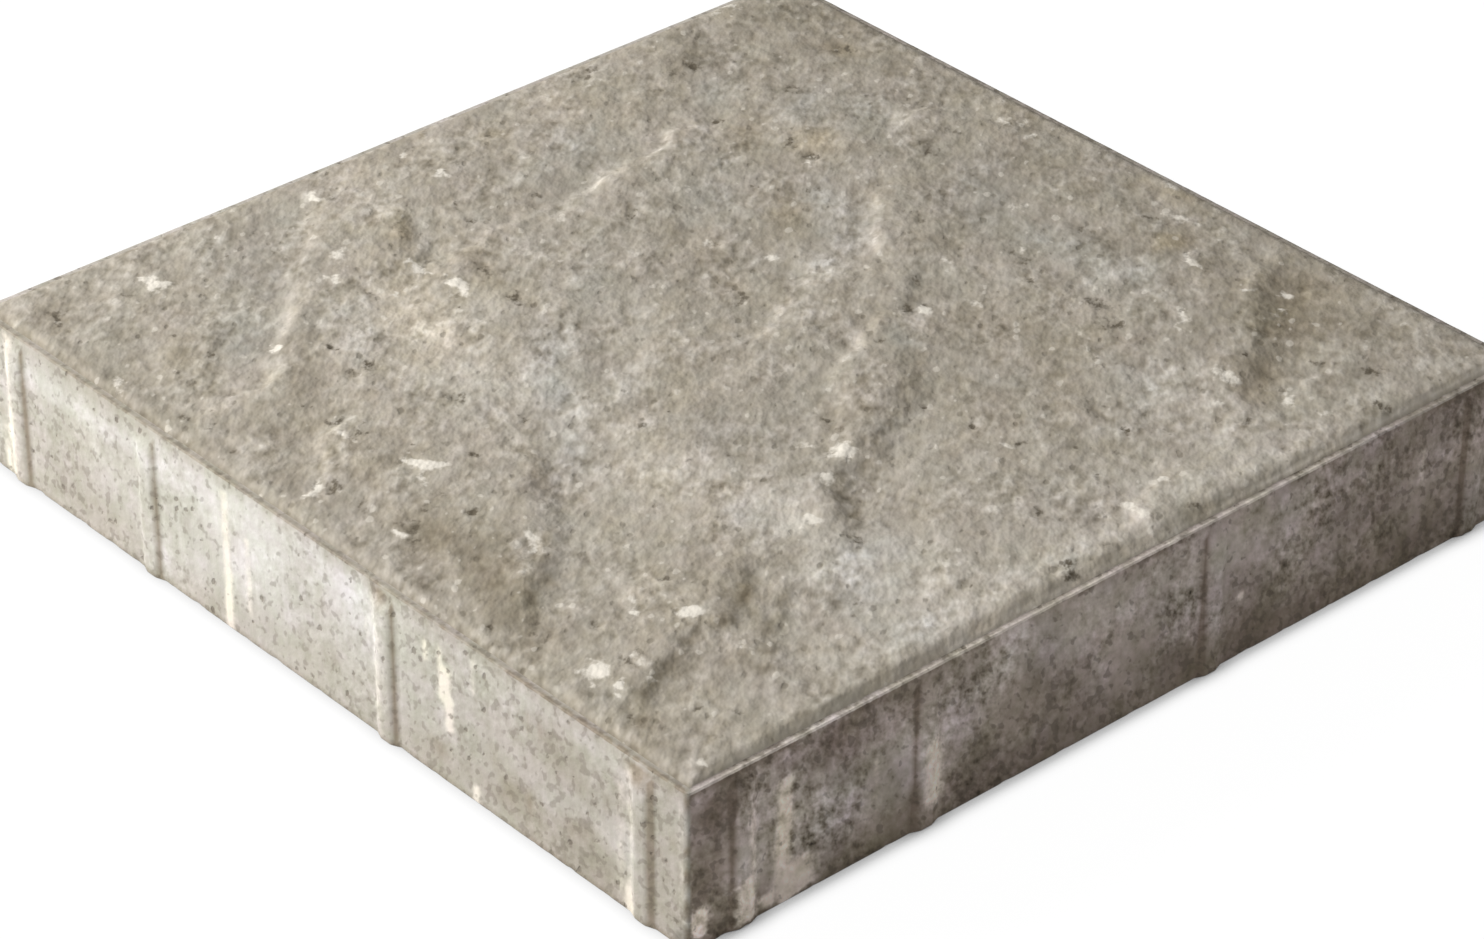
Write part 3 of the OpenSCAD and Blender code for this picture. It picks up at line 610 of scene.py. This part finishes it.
def shapeSides(points, count):
    form, ribs = sideForm, slabForm
    x, y, z = points[count:, 0], points[count:, 1], points[count:, 2]
    number = np.where(abs(x) > abs(y), np.where(x > 0, 1, 3), np.where(y > 0, 2, 0))
    s = np.choose(number, [x, y, -x, -y])
    outer = np.maximum(abs(x), abs(y))
    onWall = outer > body - 0.6 * mm
    onSide = onWall & (z < ribs["rimHeight"] - 0.01 * mm)
    rib, crease, paleLitFlank = np.zeros_like(x), np.zeros_like(x), np.zeros_like(x)
    slope = (ribs["ribFoot"] - ribs["ribCrest"]) / 2
    top = ribs["rimHeight"] - ribs["ribTop"]
    upTo = np.clip((top - z) / ribs["ribSlope"], 0, 1)
    for place in ribs["ribPlaces"]:
        t = np.clip((ribs["ribFoot"] / 2 - abs(s - place * mm)) / slope, 0, 1)
        rib = np.maximum(rib, np.minimum(t, upTo))
        darkFlank = place + np.where(number == 0, 5.0, -5.0)    # the flank that carries the painted shade and dirt
        near = np.exp(-((s - darkFlank * mm) / form["creaseWidth"]) ** 2)
        crease = np.maximum(crease, near * (z < top - 1 * mm))
        # Painted highlight and pale laitance down the other flank
        other = np.exp(-((s - (2 * place - darkFlank) * mm) / form["paleLitFlankWidth"]) ** 2)
        paleLitFlank = np.maximum(paleLitFlank, other * (z < top - 2 * mm))
    place = s + number * 0.7    # a stretch of noise of its own for each side
    dip = warpedNoise(place, z, 26 * mm, 0, 1, 2, 31.0)
    drag = warpedNoise(z, place, 4 * mm, 0, 14, 2, 33.0)
    skin = warpedNoise(place, z, 5 * mm, 0, 1, 2, 35.0)
    loss = np.maximum(warpedNoise(place, z, 9 * mm, 0, 1, 3, 37.0) - 0.12, 0)
    nearRim = easeStep(1 - abs(z - ribs["rimHeight"]) / (1.2 * mm))
    nearBed = easeStep(1 - z / (2.2 * mm))
    inward = (form["dip"] * (1 + dip) / 2 + form["drag"] * (1 + drag) / 2
              + form["skin"] * (1 + skin) / 2 + form["nibble"] * loss * (0.5 * nearRim + nearBed))
    out = np.where(onSide, ribs["ribOut"] * rib - inward, 0)
    wide = abs(x) > abs(y)
    x += np.where(wide, np.sign(x) * out, 0)
    y += np.where(wide, 0, np.sign(y) * out)
    away = np.sqrt((x - body) ** 2 + (y + body) ** 2 + (0.7 * z) ** 2)   # nick in the front corner
    nick = form["nick"] * easeStep(1 - away / form["nickReach"]) * (z > 0.2 * mm)
    nearCorner = easeStep(1 - (body - np.minimum(abs(x), abs(y))) / (3 * mm)) * (z > 0.5 * mm)
    knock = np.maximum(warpedNoise(x * 0, z, 7 * mm, 0, 1, 3, 47.0) + 0.1, 0) * nearCorner * onSide
    x -= np.sign(x) * knock * mm
    y -= np.sign(y) * knock * mm
    x -= nick
    y += nick * 0.8
    lime, tone = np.zeros_like(x), np.zeros_like(x)
    waver = 0.4 * warpedNoise(z, place, 20 * mm, 0, 1, 2, 41.0)
    frayed = 0.9 + 0.4 * warpedNoise(z, place, 5 * mm, 0, 3, 2, 42.0)
    at, up = s / mm / spreadOut, z / mm
    for n, along, width, bottom, end, pale in runs:
        off = abs(at - along - waver) / width
        ends = easeStep((up - bottom + 2) / 3) * easeStep((end - up + 2) / 3)
        mark = (number == n) * ends * np.exp(-2.2 * off ** 2) * abs(pale) * frayed
        lime = np.maximum(lime, mark if pale > 0 else 0)
        tone -= mark if pale < 0 else 0
    edge = warpedNoise(place, z, 20 * mm, 0, 1, 3, 43.0)
    rimPart = z > ribs["rimHeight"] - 1 * mm
    for n, along, middle, halfWide, halfHigh, pale in skins:
        off = np.hypot((at - along) / halfWide, (up - middle) / halfHigh) + 0.4 * edge
        gain = form["skinGain"][n] * (number == n) * ~rimPart
        tone += gain * pale * easeStep((1.3 - off) / 0.9)
    tone -= 0.5 * (number == 0) * easeStep((up - 58 + 2 * edge) / 3) * ~rimPart
    arrisPart = rimPart & onWall
    dots = np.clip(0.8 + 1.6 * warpedNoise(place, z, 4 * mm, 0, 1, 2, 44.0), 0, 2)
    # The rims are painted darker, painted shade and dirt at the foot of the riven face, and a dotted
    # dark line is painted along the -Y arris
    tone += np.choose(number, form["rimTone"]) * rimPart
    far = easeStep((at - 90) / 40)
    rimSkinAndLight = (number == 1) * (1 - 0.6 * far) * arrisPart    # the pale line along the +X arris: pale skin, and painted light where the arris lies in the riven face's shadow
    tone += rimSkinAndLight * (1 + dots) - (number == 0) * (0.6 + 0.8 * far) * dots * arrisPart
    # The +X rim's lime is the same pale skin and painted light
    lime = np.where(rimPart, rimSkinAndLight * (0.3 + 0.2 * dots), lime)
    underRim = easeStep((up - 60) / 1.5) * ~rimPart * (number == 1)
    tone -= 1.6 * underRim * easeStep(2 * warpedNoise(place, z, 24 * mm, 0, 1, 2, 49.0) + 0.6)
    # Painted shade and dirt down the rib creases; darker along the bed face
    tone += np.choose(number, form["creaseTone"]) * crease - 1.2 * nearBed
    tone += np.choose(number, form["ribTone"]) * np.clip(rib * 2 - 1, 0, 1)
    tone += np.choose(number, form["paleLitFlankTone"]) * paleLitFlank
    corner = easeStep((abs(s) - body + 3 * mm) / (2 * mm))
    knocked = 3 * warpedNoise(place, z, 7 * mm, 0, 1, 2, 45.0)
    tone += corner * (0.3 - 0.7 * (number == 0) + knocked)
    brown = np.choose(number, form["brown"]) * np.where(rimPart, 0.6, 1)
    return {"lime": lime * (rimPart | onWall), "tone": tone * (rimPart | onWall), "brown": brown}


def shapeSlab(mesh):
    points = np.zeros(len(mesh.vertices) * 3)
    mesh.vertices.foreach_get("co", points)
    points = points.reshape(-1, 3)
    count = (slabForm["cells"] + 1) ** 2
    top = shapeTop(points, count)
    print("riven face shaped, up to", round(points[:count, 2].max() / mm, 2), "mm")
    sides = shapeSides(points, count)
    print("sides and ribs shaped")
    mesh.vertices.foreach_set("co", points.ravel())
    for name in ("tone", "brown", "pit", "chip", "smooth", "lime"):
        values = np.concatenate([top.get(name, np.zeros(count)),
                                 sides.get(name, np.zeros(len(points) - count))])
        field = mesh.attributes.new(name, "FLOAT", "POINT")
        field.data.foreach_set("value", values.astype(np.float32))
    mesh.update()


shapeSlab(slabMesh)
slab = bpy.data.objects.new("rivenSlab", slabMesh)
bpy.context.scene.collection.objects.link(slab)

def newMaterial(name):  # with the function that adds a node to it
    material = bpy.data.materials.new(name)
    material.use_nodes = True
    material.node_tree.nodes.clear()
    return material, partial(addNode, material.node_tree)


def readFields(add, names):  # what the shaping left at each point
    return [add("Attribute", {"attribute_name": name}, "Fac") for name in names]


def shadeOver(add, tint, shade):  # a dark shade takes more of the blue, so dark parts stay brown
    redPart = add("Math", {"operation": "POWER", 0: shade, 1: 0.94})
    bluePart = add("Math", {"operation": "POWER", 0: shade, 1: 1.14})
    brownish = add("CombineColor", {0: redPart, 1: shade, 2: bluePart})
    return add("Mix", {"data_type": "RGBA", "blend_type": "MULTIPLY", 0: 1.0, 6: tint, 7: brownish}, 2)


def castOver(add, tint, looks, place):  # the cement leans to olive here and to lilac there
    stray = add("TexNoise", {"Vector": place, "Scale": 1 / looks["castSize"],
            "Detail": looks["castDetail"], "Roughness": looks["castRoughness"]})
    stray = add("MapRange", {"Value": stray, "From Min": 0.35, "From Max": 0.65})
    cast = add("Mix", {"data_type": "RGBA", 0: stray, 6: colour(looks["olive"]),
            7: colour(looks["lilac"])}, 2)
    return add("Mix", {"data_type": "RGBA", "blend_type": "MULTIPLY", 0: 1.0, 6: tint, 7: cast}, 2)


def spotsIn(add, place, form, pulls):  # one spot or none in each cell, larger where a pull is up
    cells = add("TexVoronoi", {"Vector": place, "Scale": 1 / form["size"]}, None)
    chance = add("SeparateColor", {"Color": cells.outputs["Color"]}, form["channel"])
    reach = add("MapRange", {"Value": chance, "From Min": form["rarity"], "From Max": 1.0,
            "To Min": form["least"], "To Max": form["most"]})
    for value, share in pulls:
        reach = add("Math", {"operation": "MULTIPLY_ADD", 0: value, 1: share, 2: reach})
    inside = add("Math", {"operation": "SUBTRACT", 0: reach, 1: cells.outputs["Distance"]})
    return add("MapRange", {"Value": inside, "From Min": form["rise"][0], "From Max": form["rise"][1],
            "To Max": form["strength"], "interpolation_type": "SMOOTHSTEP"})


def closeTree(add, tint, looks, height):
    bump = add("Bump", {"Height": height, "Distance": looks["bump"]})
    shader = add("BsdfPrincipled", {"Base Color": tint, "Roughness": looks["roughness"], "IOR": 1.5,
            "Normal": bump})
    add("OutputMaterial", {"Surface": shader}, None)


# Portland cement concrete with light sand. The face was cast against a rubber mould of split
# stone: dull, with sand showing, laitance along the breaks and dirt in the pits. The breaks also
# carry painted light and shade on their scarps.
rivenLooks = {
    "base": "#aca496",
    "grey": "#a8a49a",
    "brown": "#aea28b",
    "dirt": "#5f5646",
    "laitance": "#e6dfd2",
    "olive": "#fefffd",        # faint casts in the cement
    "lilac": "#fffdff",
    "castSize": 24 * mm,
    "castDetail": 4,
    "castRoughness": 0.85,
    "toneShare": 0.16,         # how much a full step of tone lightens or darkens
    "mottleSize": 16 * mm,     # clouds of sand and cement
    "mottleShare": 0.22,
    "crumbSize": 4.6 * mm,     # crumbs of sand and cement
    "crumbShare": 0.295,
    "patchSize": 22 * mm,      # where they show more and where less
    "hueSize": 11 * mm,        # browner and greyer spots
    "gritSize": 3.0 * mm,      # breaks up the pits and chips
    # Spots: size of a cell, channel of its chance, share of the cells left empty, least and most
    # radius in cells, how the edge comes up, and how well the spot covers
    "flecks": {"size": 4.6 * mm, "channel": 0, "rarity": 0.35, "least": -0.1, "most": 0.34,
               "rise": (-0.05, 0.2), "strength": 0.36},    # dark
    "grains": {"size": 5 * mm, "channel": 1, "rarity": 0.4, "least": -0.1, "most": 0.3,
               "rise": (-0.02, 0.1), "strength": 0.35},    # pale sand
    "roughness": 0.92,
    "bump": 0.9 * mm,
}


def makeRiven():
    looks = rivenLooks
    material, add = newMaterial("rivenConcrete")
    tone, hue, pit, chip, smooth = readFields(add, ("tone", "brown", "pit", "chip", "smooth"))
    place = add("TexCoord", {}, "Object")
    place = add("Mapping", {"vector_type": "TEXTURE", "Scale": (1.3, 0.9, 1), "Rotation": (0, 0,
            math.radians(reliefForm["grainDir"])), "Vector": place})
    mottle = add("TexNoise", {"Vector": place, "Scale": 1 / looks["mottleSize"], "Detail": 2.5,
            "Roughness": 0.8})
    crumb = add("TexNoise", {"Vector": place, "Scale": 1 / looks["crumbSize"], "Detail": 1.6,
            "Roughness": 0.6})
    hueNoise = add("TexNoise", {"Vector": place, "Scale": 1 / looks["hueSize"], "Detail": 3,
            "Roughness": 0.7}, 1)
    stray = add("SeparateColor", {"Color": hueNoise}, 1)
    stray = add("MapRange", {"Value": stray, "From Min": 0.3, "From Max": 0.7, "To Min": -0.4,
            "To Max": 0.4})
    allHue = add("Math", {"operation": "ADD", 0: hue, 1: stray})
    toGrey = add("MapRange", {"Value": allHue, "From Min": 0.0, "From Max": -1.4})
    toBrown = add("MapRange", {"Value": allHue, "From Min": 0.0, "From Max": 1.4})
    tint = add("Mix", {"data_type": "RGBA", 0: toGrey, 6: colour(looks["base"]),
            7: colour(looks["grey"])}, 2)
    tint = add("Mix", {"data_type": "RGBA", 0: toBrown, 6: tint, 7: colour(looks["brown"])}, 2)
    share = looks["mottleShare"]
    shade = add("MapRange", {"Value": mottle, "From Min": 0.25, "From Max": 0.75, "To Min": 1 - share,
            "To Max": 1 + share})
    toned = add("Math", {"operation": "MULTIPLY_ADD", 0: tone, 1: looks["toneShare"], 2: 1.0})
    shade = add("Math", {"operation": "MULTIPLY", 0: shade, 1: toned})
    share = looks["crumbShare"]
    crumbShade = add("MapRange", {"Value": crumb, "From Min": 0.25, "From Max": 0.75, "To Min": -share,
            "To Max": share})
    patches = add("TexNoise", {"Vector": place, "Scale": 1 / looks["patchSize"], "Detail": 2})
    coarse = add("MapRange", {"Value": patches, "From Min": 0.35, "From Max": 0.65, "To Min": 0.35,
            "To Max": 1.65})
    evener = add("MapRange", {"Value": smooth, "To Min": 1.0, "To Max": 0.35})
    coarse = add("Math", {"operation": "MULTIPLY", 0: coarse, 1: evener})
    crumbShade = add("Math", {"operation": "MULTIPLY_ADD", 0: crumbShade, 1: coarse, 2: 1.0})
    shade = add("Math", {"operation": "MULTIPLY", 0: shade, 1: crumbShade})
    tint = castOver(add, shadeOver(add, tint, shade), looks, place)
    frayed = add("MapRange", {"Value": crumb, "From Min": 0.3, "From Max": 0.7, "To Min": 0.2,
            "To Max": -0.2})
    fleck = spotsIn(add, place, looks["flecks"], [(frayed, 1)])
    tint = add("Mix", {"data_type": "RGBA", 0: fleck, 6: tint, 7: colour(looks["dirt"])}, 2)
    grain = spotsIn(add, place, looks["grains"], [(frayed, -1)])
    tint = add("Mix", {"data_type": "RGBA", 0: grain, 6: tint, 7: colour(looks["laitance"])}, 2)
    grit = add("TexNoise", {"Vector": place, "Scale": 1 / looks["gritSize"], "Detail": 2,
            "Roughness": 0.6})
    grit = add("MapRange", {"Value": grit, "From Min": 0.3, "From Max": 0.7, "To Min": -0.7,
            "To Max": 0.7})
    pitEdge = add("Math", {"operation": "ADD", 0: pit, 1: grit})
    inPit = add("MapRange", {"Value": pit, "From Min": 0.08, "From Max": 0.3})
    specks = add("MapRange", {"Value": pitEdge, "From Min": 0.2, "From Max": 1.1, "To Max": 0.75,
            "interpolation_type": "SMOOTHSTEP"})
    smudge = add("MapRange", {"Value": pit, "From Min": 0.1, "From Max": 0.8, "To Max": 0.3})
    pitShare = add("Math", {"operation": "MULTIPLY_ADD", 0: specks, 1: inPit, 2: smudge})
    tint = add("Mix", {"data_type": "RGBA", 0: pitShare, 6: tint, 7: colour(looks["dirt"])}, 2)
    chipEdge = add("Math", {"operation": "MULTIPLY_ADD", 0: grit, 1: 0.3, 2: chip})
    chipShare = add("MapRange", {"Value": chipEdge, "From Min": 0.15, "From Max": 0.65, "To Max": 0.95,
            "interpolation_type": "SMOOTHSTEP"})
    tint = add("Mix", {"data_type": "RGBA", 0: chipShare, 6: tint, 7: colour(looks["laitance"])}, 2)
    height = add("Math", {"operation": "MULTIPLY_ADD", 0: fleck, 1: -0.3, 2: crumb})
    closeTree(add, tint, looks, height)
    return material


# The same concrete cast against the steel sides of the mould: a smoother cement skin with air
# holes, faint upright drag marks and runs of lime.
mouldedLooks = {
    "base": "#b2ada4",
    "brown": "#b9aba3",
    "low": "#8d8070",          # darker and browner towards the bed face
    "lowTop": 50 * mm,
    "pale": "#d3d0cd",         # smooth skin, greyer than the rest, which also carries the painted highlights down rib flanks and along the +X arris
    "paleBrown": "#cbc0b9",    # the same on the browner sides
    "wornAndShade": "#8d8272",
    # worn skin, which also carries the painted shade in the rib creases and along the rims
    "wornAndShadeBrown": "#897a6e",
    "lime": "#efe6d8",
    "limeBrown": "#fff0e6",
    "pore": "#5e5347",
    "olive": "#fcfffa",        # faint casts in the cement
    "lilac": "#fffcff",
    "cream": "#fffff7",
    "castSize": 12 * mm,
    "castDetail": 3,
    "castRoughness": 0.7,
    "mottleSize": 24 * mm,
    "mottleShare": 0.19,
    "crumbSize": 3.7 * mm,
    "crumbShare": 0.2,
    "lean": 0.35,              # how far the crumbs rise for each step along a side
    "patchSize": 26 * mm,      # where they show more and where less
    "dragSize": 3 * mm,        # spacing of the drag marks
    "speckSize": 3.5 * mm,     # small losses in the skin
    "pores": {"size": 4.8 * mm, "channel": 0, "rarity": 0.3, "least": -0.05, "most": 0.36,
              "rise": (-0.02, 0.2), "strength": 0.55},     # air holes, given as the flecks are
    "roughness": 0.85,
    "bump": 0.3 * mm,
}


def makeMoulded():
    looks = mouldedLooks
    material, add = newMaterial("mouldedConcrete")
    tone, hue, lime = readFields(add, ("tone", "brown", "lime"))
    place = add("TexCoord", {}, "Object")
    axes = add("SeparateXYZ", {"Vector": place}, None).outputs
    across = add("Math", {"operation": "SUBTRACT", 0: axes[1], 1: axes[0]})
    rise = add("Math", {"operation": "MULTIPLY_ADD", 0: across, 1: looks["lean"], 2: axes[2]})
    leaning = add("CombineXYZ", {0: axes[0], 1: axes[1], 2: rise})
    mottle = add("TexNoise", {"Vector": place, "Scale": 1 / looks["mottleSize"], "Detail": 3,
            "Roughness": 0.7})
    crumb = add("TexNoise", {"Vector": leaning, "Scale": 1 / looks["crumbSize"], "Detail": 2,
            "Roughness": 0.6})
    frayed = add("MapRange", {"Value": crumb, "From Min": 0.3, "From Max": 0.7, "To Min": 0.2,
            "To Max": -0.2})
    tint = add("Mix", {"data_type": "RGBA", 0: hue, 6: colour(looks["base"]),
            7: colour(looks["brown"])}, 2)
    wavy = add("Math", {"operation": "MULTIPLY_ADD", 0: mottle, 1: 0.03, 2: axes[2]})
    lowShare = add("MapRange", {"Value": wavy, "From Min": 0.008, "From Max": looks["lowTop"],
            "To Min": 0.8, "To Max": 0.0, "interpolation_type": "SMOOTHSTEP"})
    lowByHue = add("MapRange", {"Value": hue, "To Min": 0.25, "To Max": 1.0})
    lowShare = add("Math", {"operation": "MULTIPLY", 0: lowShare, 1: lowByHue})
    tint = add("Mix", {"data_type": "RGBA", 0: lowShare, 6: tint, 7: colour(looks["low"])}, 2)
    # Pale skin and painted highlights above 0 tone, worn skin and painted shade below
    for end, name in ((2.0, "pale"), (-2.0, "wornAndShade")):
        share = add("MapRange", {"Value": tone, "From Min": 0.0, "From Max": end})
        skin = add("Mix", {"data_type": "RGBA", 0: hue, 6: colour(looks[name]),
                7: colour(looks[name + "Brown"])}, 2)
        tint = add("Mix", {"data_type": "RGBA", 0: share, 6: tint, 7: skin}, 2)
    limeEdge = add("Math", {"operation": "MULTIPLY_ADD", 0: frayed, 1: -0.5, 2: lime})
    limeMost = add("MapRange", {"Value": hue, "To Min": 0.7, "To Max": 1.0})
    limeShare = add("MapRange", {"Value": limeEdge, "From Min": 0.05, "From Max": 0.75,
            "To Max": limeMost, "interpolation_type": "SMOOTHSTEP"})
    crust = add("Mix", {"data_type": "RGBA", 0: hue, 6: colour(looks["lime"]),
            7: colour(looks["limeBrown"])}, 2)
    tint = add("Mix", {"data_type": "RGBA", 0: limeShare, 6: tint, 7: crust}, 2)
    share = looks["mottleShare"]
    shade = add("MapRange", {"Value": mottle, "From Min": 0.25, "From Max": 0.75, "To Min": -share,
            "To Max": share})
    share = looks["crumbShare"]
    crumbShade = add("MapRange", {"Value": crumb, "From Min": 0.25, "From Max": 0.75, "To Min": -share,
            "To Max": share})
    patches = add("TexNoise", {"Vector": place, "Scale": 1 / looks["patchSize"], "Detail": 2},
            None).outputs
    coarse = add("MapRange", {"Value": patches[0], "From Min": 0.35, "From Max": 0.65, "To Min": 0.4,
            "To Max": 1.6})
    shade = add("Math", {"operation": "MULTIPLY_ADD", 0: crumbShade, 1: coarse, 2: shade})
    dirtier = add("Math", {"operation": "MULTIPLY_ADD", 0: hue, 1: 1.6, 2: 0.7})
    dirtier = add("Math", {"operation": "MULTIPLY_ADD", 0: limeShare, 1: -0.9, 2: dirtier})
    shade = add("Math", {"operation": "MULTIPLY_ADD", 0: shade, 1: dirtier, 2: 1.0})
    stretched = add("Mapping", {"vector_type": "TEXTURE", "Scale": (1, 1, 10), "Vector": place})
    drag = add("TexNoise", {"Vector": stretched, "Scale": 1 / looks["dragSize"], "Detail": 2})
    dragShade = add("MapRange", {"Value": drag, "From Min": 0.3, "From Max": 0.7, "To Min": 0.95,
            "To Max": 1.05})
    shade = add("Math", {"operation": "MULTIPLY", 0: shade, 1: dragShade})
    tint = castOver(add, shadeOver(add, tint, shade), looks, place)
    split = add("SeparateColor", {"Color": patches[1]}, 1)
    creamMost = add("MapRange", {"Value": hue, "To Min": 0.4, "To Max": 1.0})
    creamShare = add("MapRange", {"Value": split, "From Min": 0.35, "From Max": 0.65,
            "To Max": creamMost})
    tint = add("Mix", {"data_type": "RGBA", "blend_type": "MULTIPLY", 0: creamShare, 6: tint,
            7: colour(looks["cream"])}, 2)
    even = add("MapRange", {"Value": tone, "From Min": -1.0, "From Max": 1.0, "To Min": -1.0,
            "To Max": 1.0})
    crowd = add("MapRange", {"Value": mottle, "From Min": 0.3, "From Max": 0.7, "To Min": 0.1,
            "To Max": -0.25})
    pore = spotsIn(add, leaning, looks["pores"], [(even, -0.07), (crowd, 1), (frayed, 1)])
    tint = add("Mix", {"data_type": "RGBA", 0: pore, 6: tint, 7: colour(looks["pore"])}, 2)
    specks = add("TexNoise", {"Vector": leaning, "Scale": 1 / looks["speckSize"], "Detail": 1.5,
            "Roughness": 0.5})
    for value, share in ((even, -0.045), (limeShare, -0.08), (mottle, -0.15)):
        specks = add("Math", {"operation": "MULTIPLY_ADD", 0: value, 1: share, 2: specks})
    speckMost = add("MapRange", {"Value": hue, "To Min": 0.36, "To Max": 0.5})
    speckShare = add("MapRange", {"Value": specks, "From Min": 0.48, "From Max": 0.6,
            "To Max": speckMost, "interpolation_type": "SMOOTHSTEP"})
    tint = add("Mix", {"data_type": "RGBA", 0: speckShare, 6: tint, 7: colour(looks["pore"])}, 2)
    height = add("Math", {"operation": "MULTIPLY_ADD", 0: pore, 1: -1.2, 2: crumb})
    closeTree(add, tint, looks, height)
    return material


# The open top of the mould, struck off level: coarse and grey, with broken air holes.
struckLooks = {
    "base": "#a8a196",
    "dark": "#8b8377",
    "pore": "#4f483f",
    "mottleSize": 30 * mm,
    "sandSize": 2 * mm,
    "pores": {"size": 7 * mm, "channel": 0, "rarity": 0.3, "least": 0.0, "most": 0.35,
              "rise": (0.0, 0.08), "strength": 0.7},
    "roughness": 0.95,
    "bump": 0.6 * mm,
}


def makeStruck():
    looks = struckLooks
    material, add = newMaterial("struckConcrete")
    place = add("TexCoord", {}, "Object")
    mottle = add("TexNoise", {"Vector": place, "Scale": 1 / looks["mottleSize"], "Detail": 5,
            "Roughness": 0.8})
    share = add("MapRange", {"Value": mottle, "From Min": 0.35, "From Max": 0.65})
    tint = add("Mix", {"data_type": "RGBA", 0: share, 6: colour(looks["dark"]),
            7: colour(looks["base"])}, 2)
    sand = add("TexNoise", {"Vector": place, "Scale": 1 / looks["sandSize"], "Detail": 2})
    shade = add("MapRange", {"Value": sand, "From Min": 0.3, "From Max": 0.7, "To Min": 0.85,
            "To Max": 1.15})
    tint = shadeOver(add, tint, shade)
    pore = spotsIn(add, place, looks["pores"], [])
    tint = add("Mix", {"data_type": "RGBA", 0: pore, 6: tint, 7: colour(looks["pore"])}, 2)
    height = add("Math", {"operation": "MULTIPLY_ADD", 0: pore, 1: -1.5, 2: sand})
    closeTree(add, tint, looks, height)
    return material


for material in (makeRiven(), makeMoulded(), makeStruck()):
    slabMesh.materials.append(material)
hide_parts("slab")
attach(slab, root)
print("slab dressed")

studio = {
    "floorSize": 8.0,
    "floorTone": 0.6,          # what the floor throws back at the slab
    "shadowShare": 0.06,       # how much of the real shadow the floor shows to the camera
    "contact": 10 * mm,        # reach of the painted contact shadow where slab and floor meet
    "darkest": 0.16,           # what the floor shows right in that painted shadow
    "skyLevel": 0.40,
    "keyLevel": 1.3,           # what a white card square to the lamp reads
    "keySize": 1.1,
    "keyDistance": 2.2,
    "keyAzimuth": 230,         # degrees from +X
    "keyHeight": 27,
}


def makeFloor():
    bm = bmesh.new()
    bmesh.ops.create_grid(bm, x_segments=1, y_segments=1, size=studio["floorSize"] / 2)
    mesh = bpy.data.meshes.new("floor")
    bm.to_mesh(mesh)
    bm.free()
    floor = bpy.data.objects.new("floor", mesh)
    bpy.context.scene.collection.objects.link(floor)
    material, add = newMaterial("paleFloor")
    grey, shown = studio["floorTone"], studio["shadowShare"]
    matt = add("BsdfDiffuse", {"Color": (grey, grey, grey, 1)})
    clear = add("AmbientOcclusion", {"Distance": studio["contact"]}, "AO")
    closed = add("Math", {"operation": "SUBTRACT", 0: 1.0, 1: clear})
    closed = add("Math", {"operation": "POWER", 0: closed, 1: 2.0})
    where = add("TexCoord", {}, "Object")
    where = add("SeparateXYZ", {"Vector": where}, None).outputs
    far = add("Math", {"operation": "MAXIMUM", 0: where[0], 1: where[1]})
    # The painted contact shadow is darker on the sides away from the lamp
    depth = add("MapRange", {"Value": far, "From Min": body - 4 * mm, "From Max": body + 2 * mm,
            "To Min": 0.8, "To Max": 3.0})
    level = add("Math", {"operation": "MULTIPLY", 0: closed, 1: depth})
    level = add("Math", {"operation": "SUBTRACT", 0: 1.02 - shown * 0.75, 1: level})
    level = add("Math", {"operation": "MAXIMUM", 0: level, 1: studio["darkest"]})
    glow = add("Emission", {"Color": (1, 1, 1, 1), "Strength": level})
    shadow = add("BsdfDiffuse", {"Color": (shown, shown, shown, 1)})
    both = add("AddShader", {0: glow, 1: shadow})
    rays = add("LightPath", {}, None).outputs
    seen = rays["Is Camera Ray"]
    for ray in ("Is Glossy Ray", "Is Transmission Ray"):
        seen = add("Math", {"operation": "MAXIMUM", 0: seen, 1: rays[ray]})
    mixed = add("MixShader", {0: seen, 1: matt, 2: both})
    add("OutputMaterial", {"Surface": mixed}, None)
    mesh.materials.append(material)


def makeLight():
    world = bpy.data.worlds.new("sky")
    world.use_nodes = True
    sky = world.node_tree.nodes["Background"].inputs
    sky[0].default_value = (1, 1, 1, 1)
    sky[1].default_value = studio["skyLevel"]
    bpy.context.scene.world = world
    lamp = bpy.data.lights.new("key", "AREA")
    lamp.shape = "DISK"
    lamp.size = studio["keySize"]
    away = studio["keyDistance"]
    lamp.energy = studio["keyLevel"] * math.pi ** 2 * away ** 2
    key = bpy.data.objects.new("key", lamp)
    turn = math.radians(studio["keyAzimuth"])
    rise = math.radians(studio["keyHeight"])
    toLamp = Vector((math.cos(turn) * math.cos(rise), math.sin(turn) * math.cos(rise), math.sin(rise)))
    key.matrix_world = (Matrix.Translation(toLamp * away)
                        @ toLamp.to_track_quat("Z", "Y").to_matrix().to_4x4())
    bpy.context.scene.collection.objects.link(key)


makeFloor()
makeLight()
bpy.context.scene.view_settings.view_transform = "Standard"
print("studio lit")

bpy.context.view_layer.update()
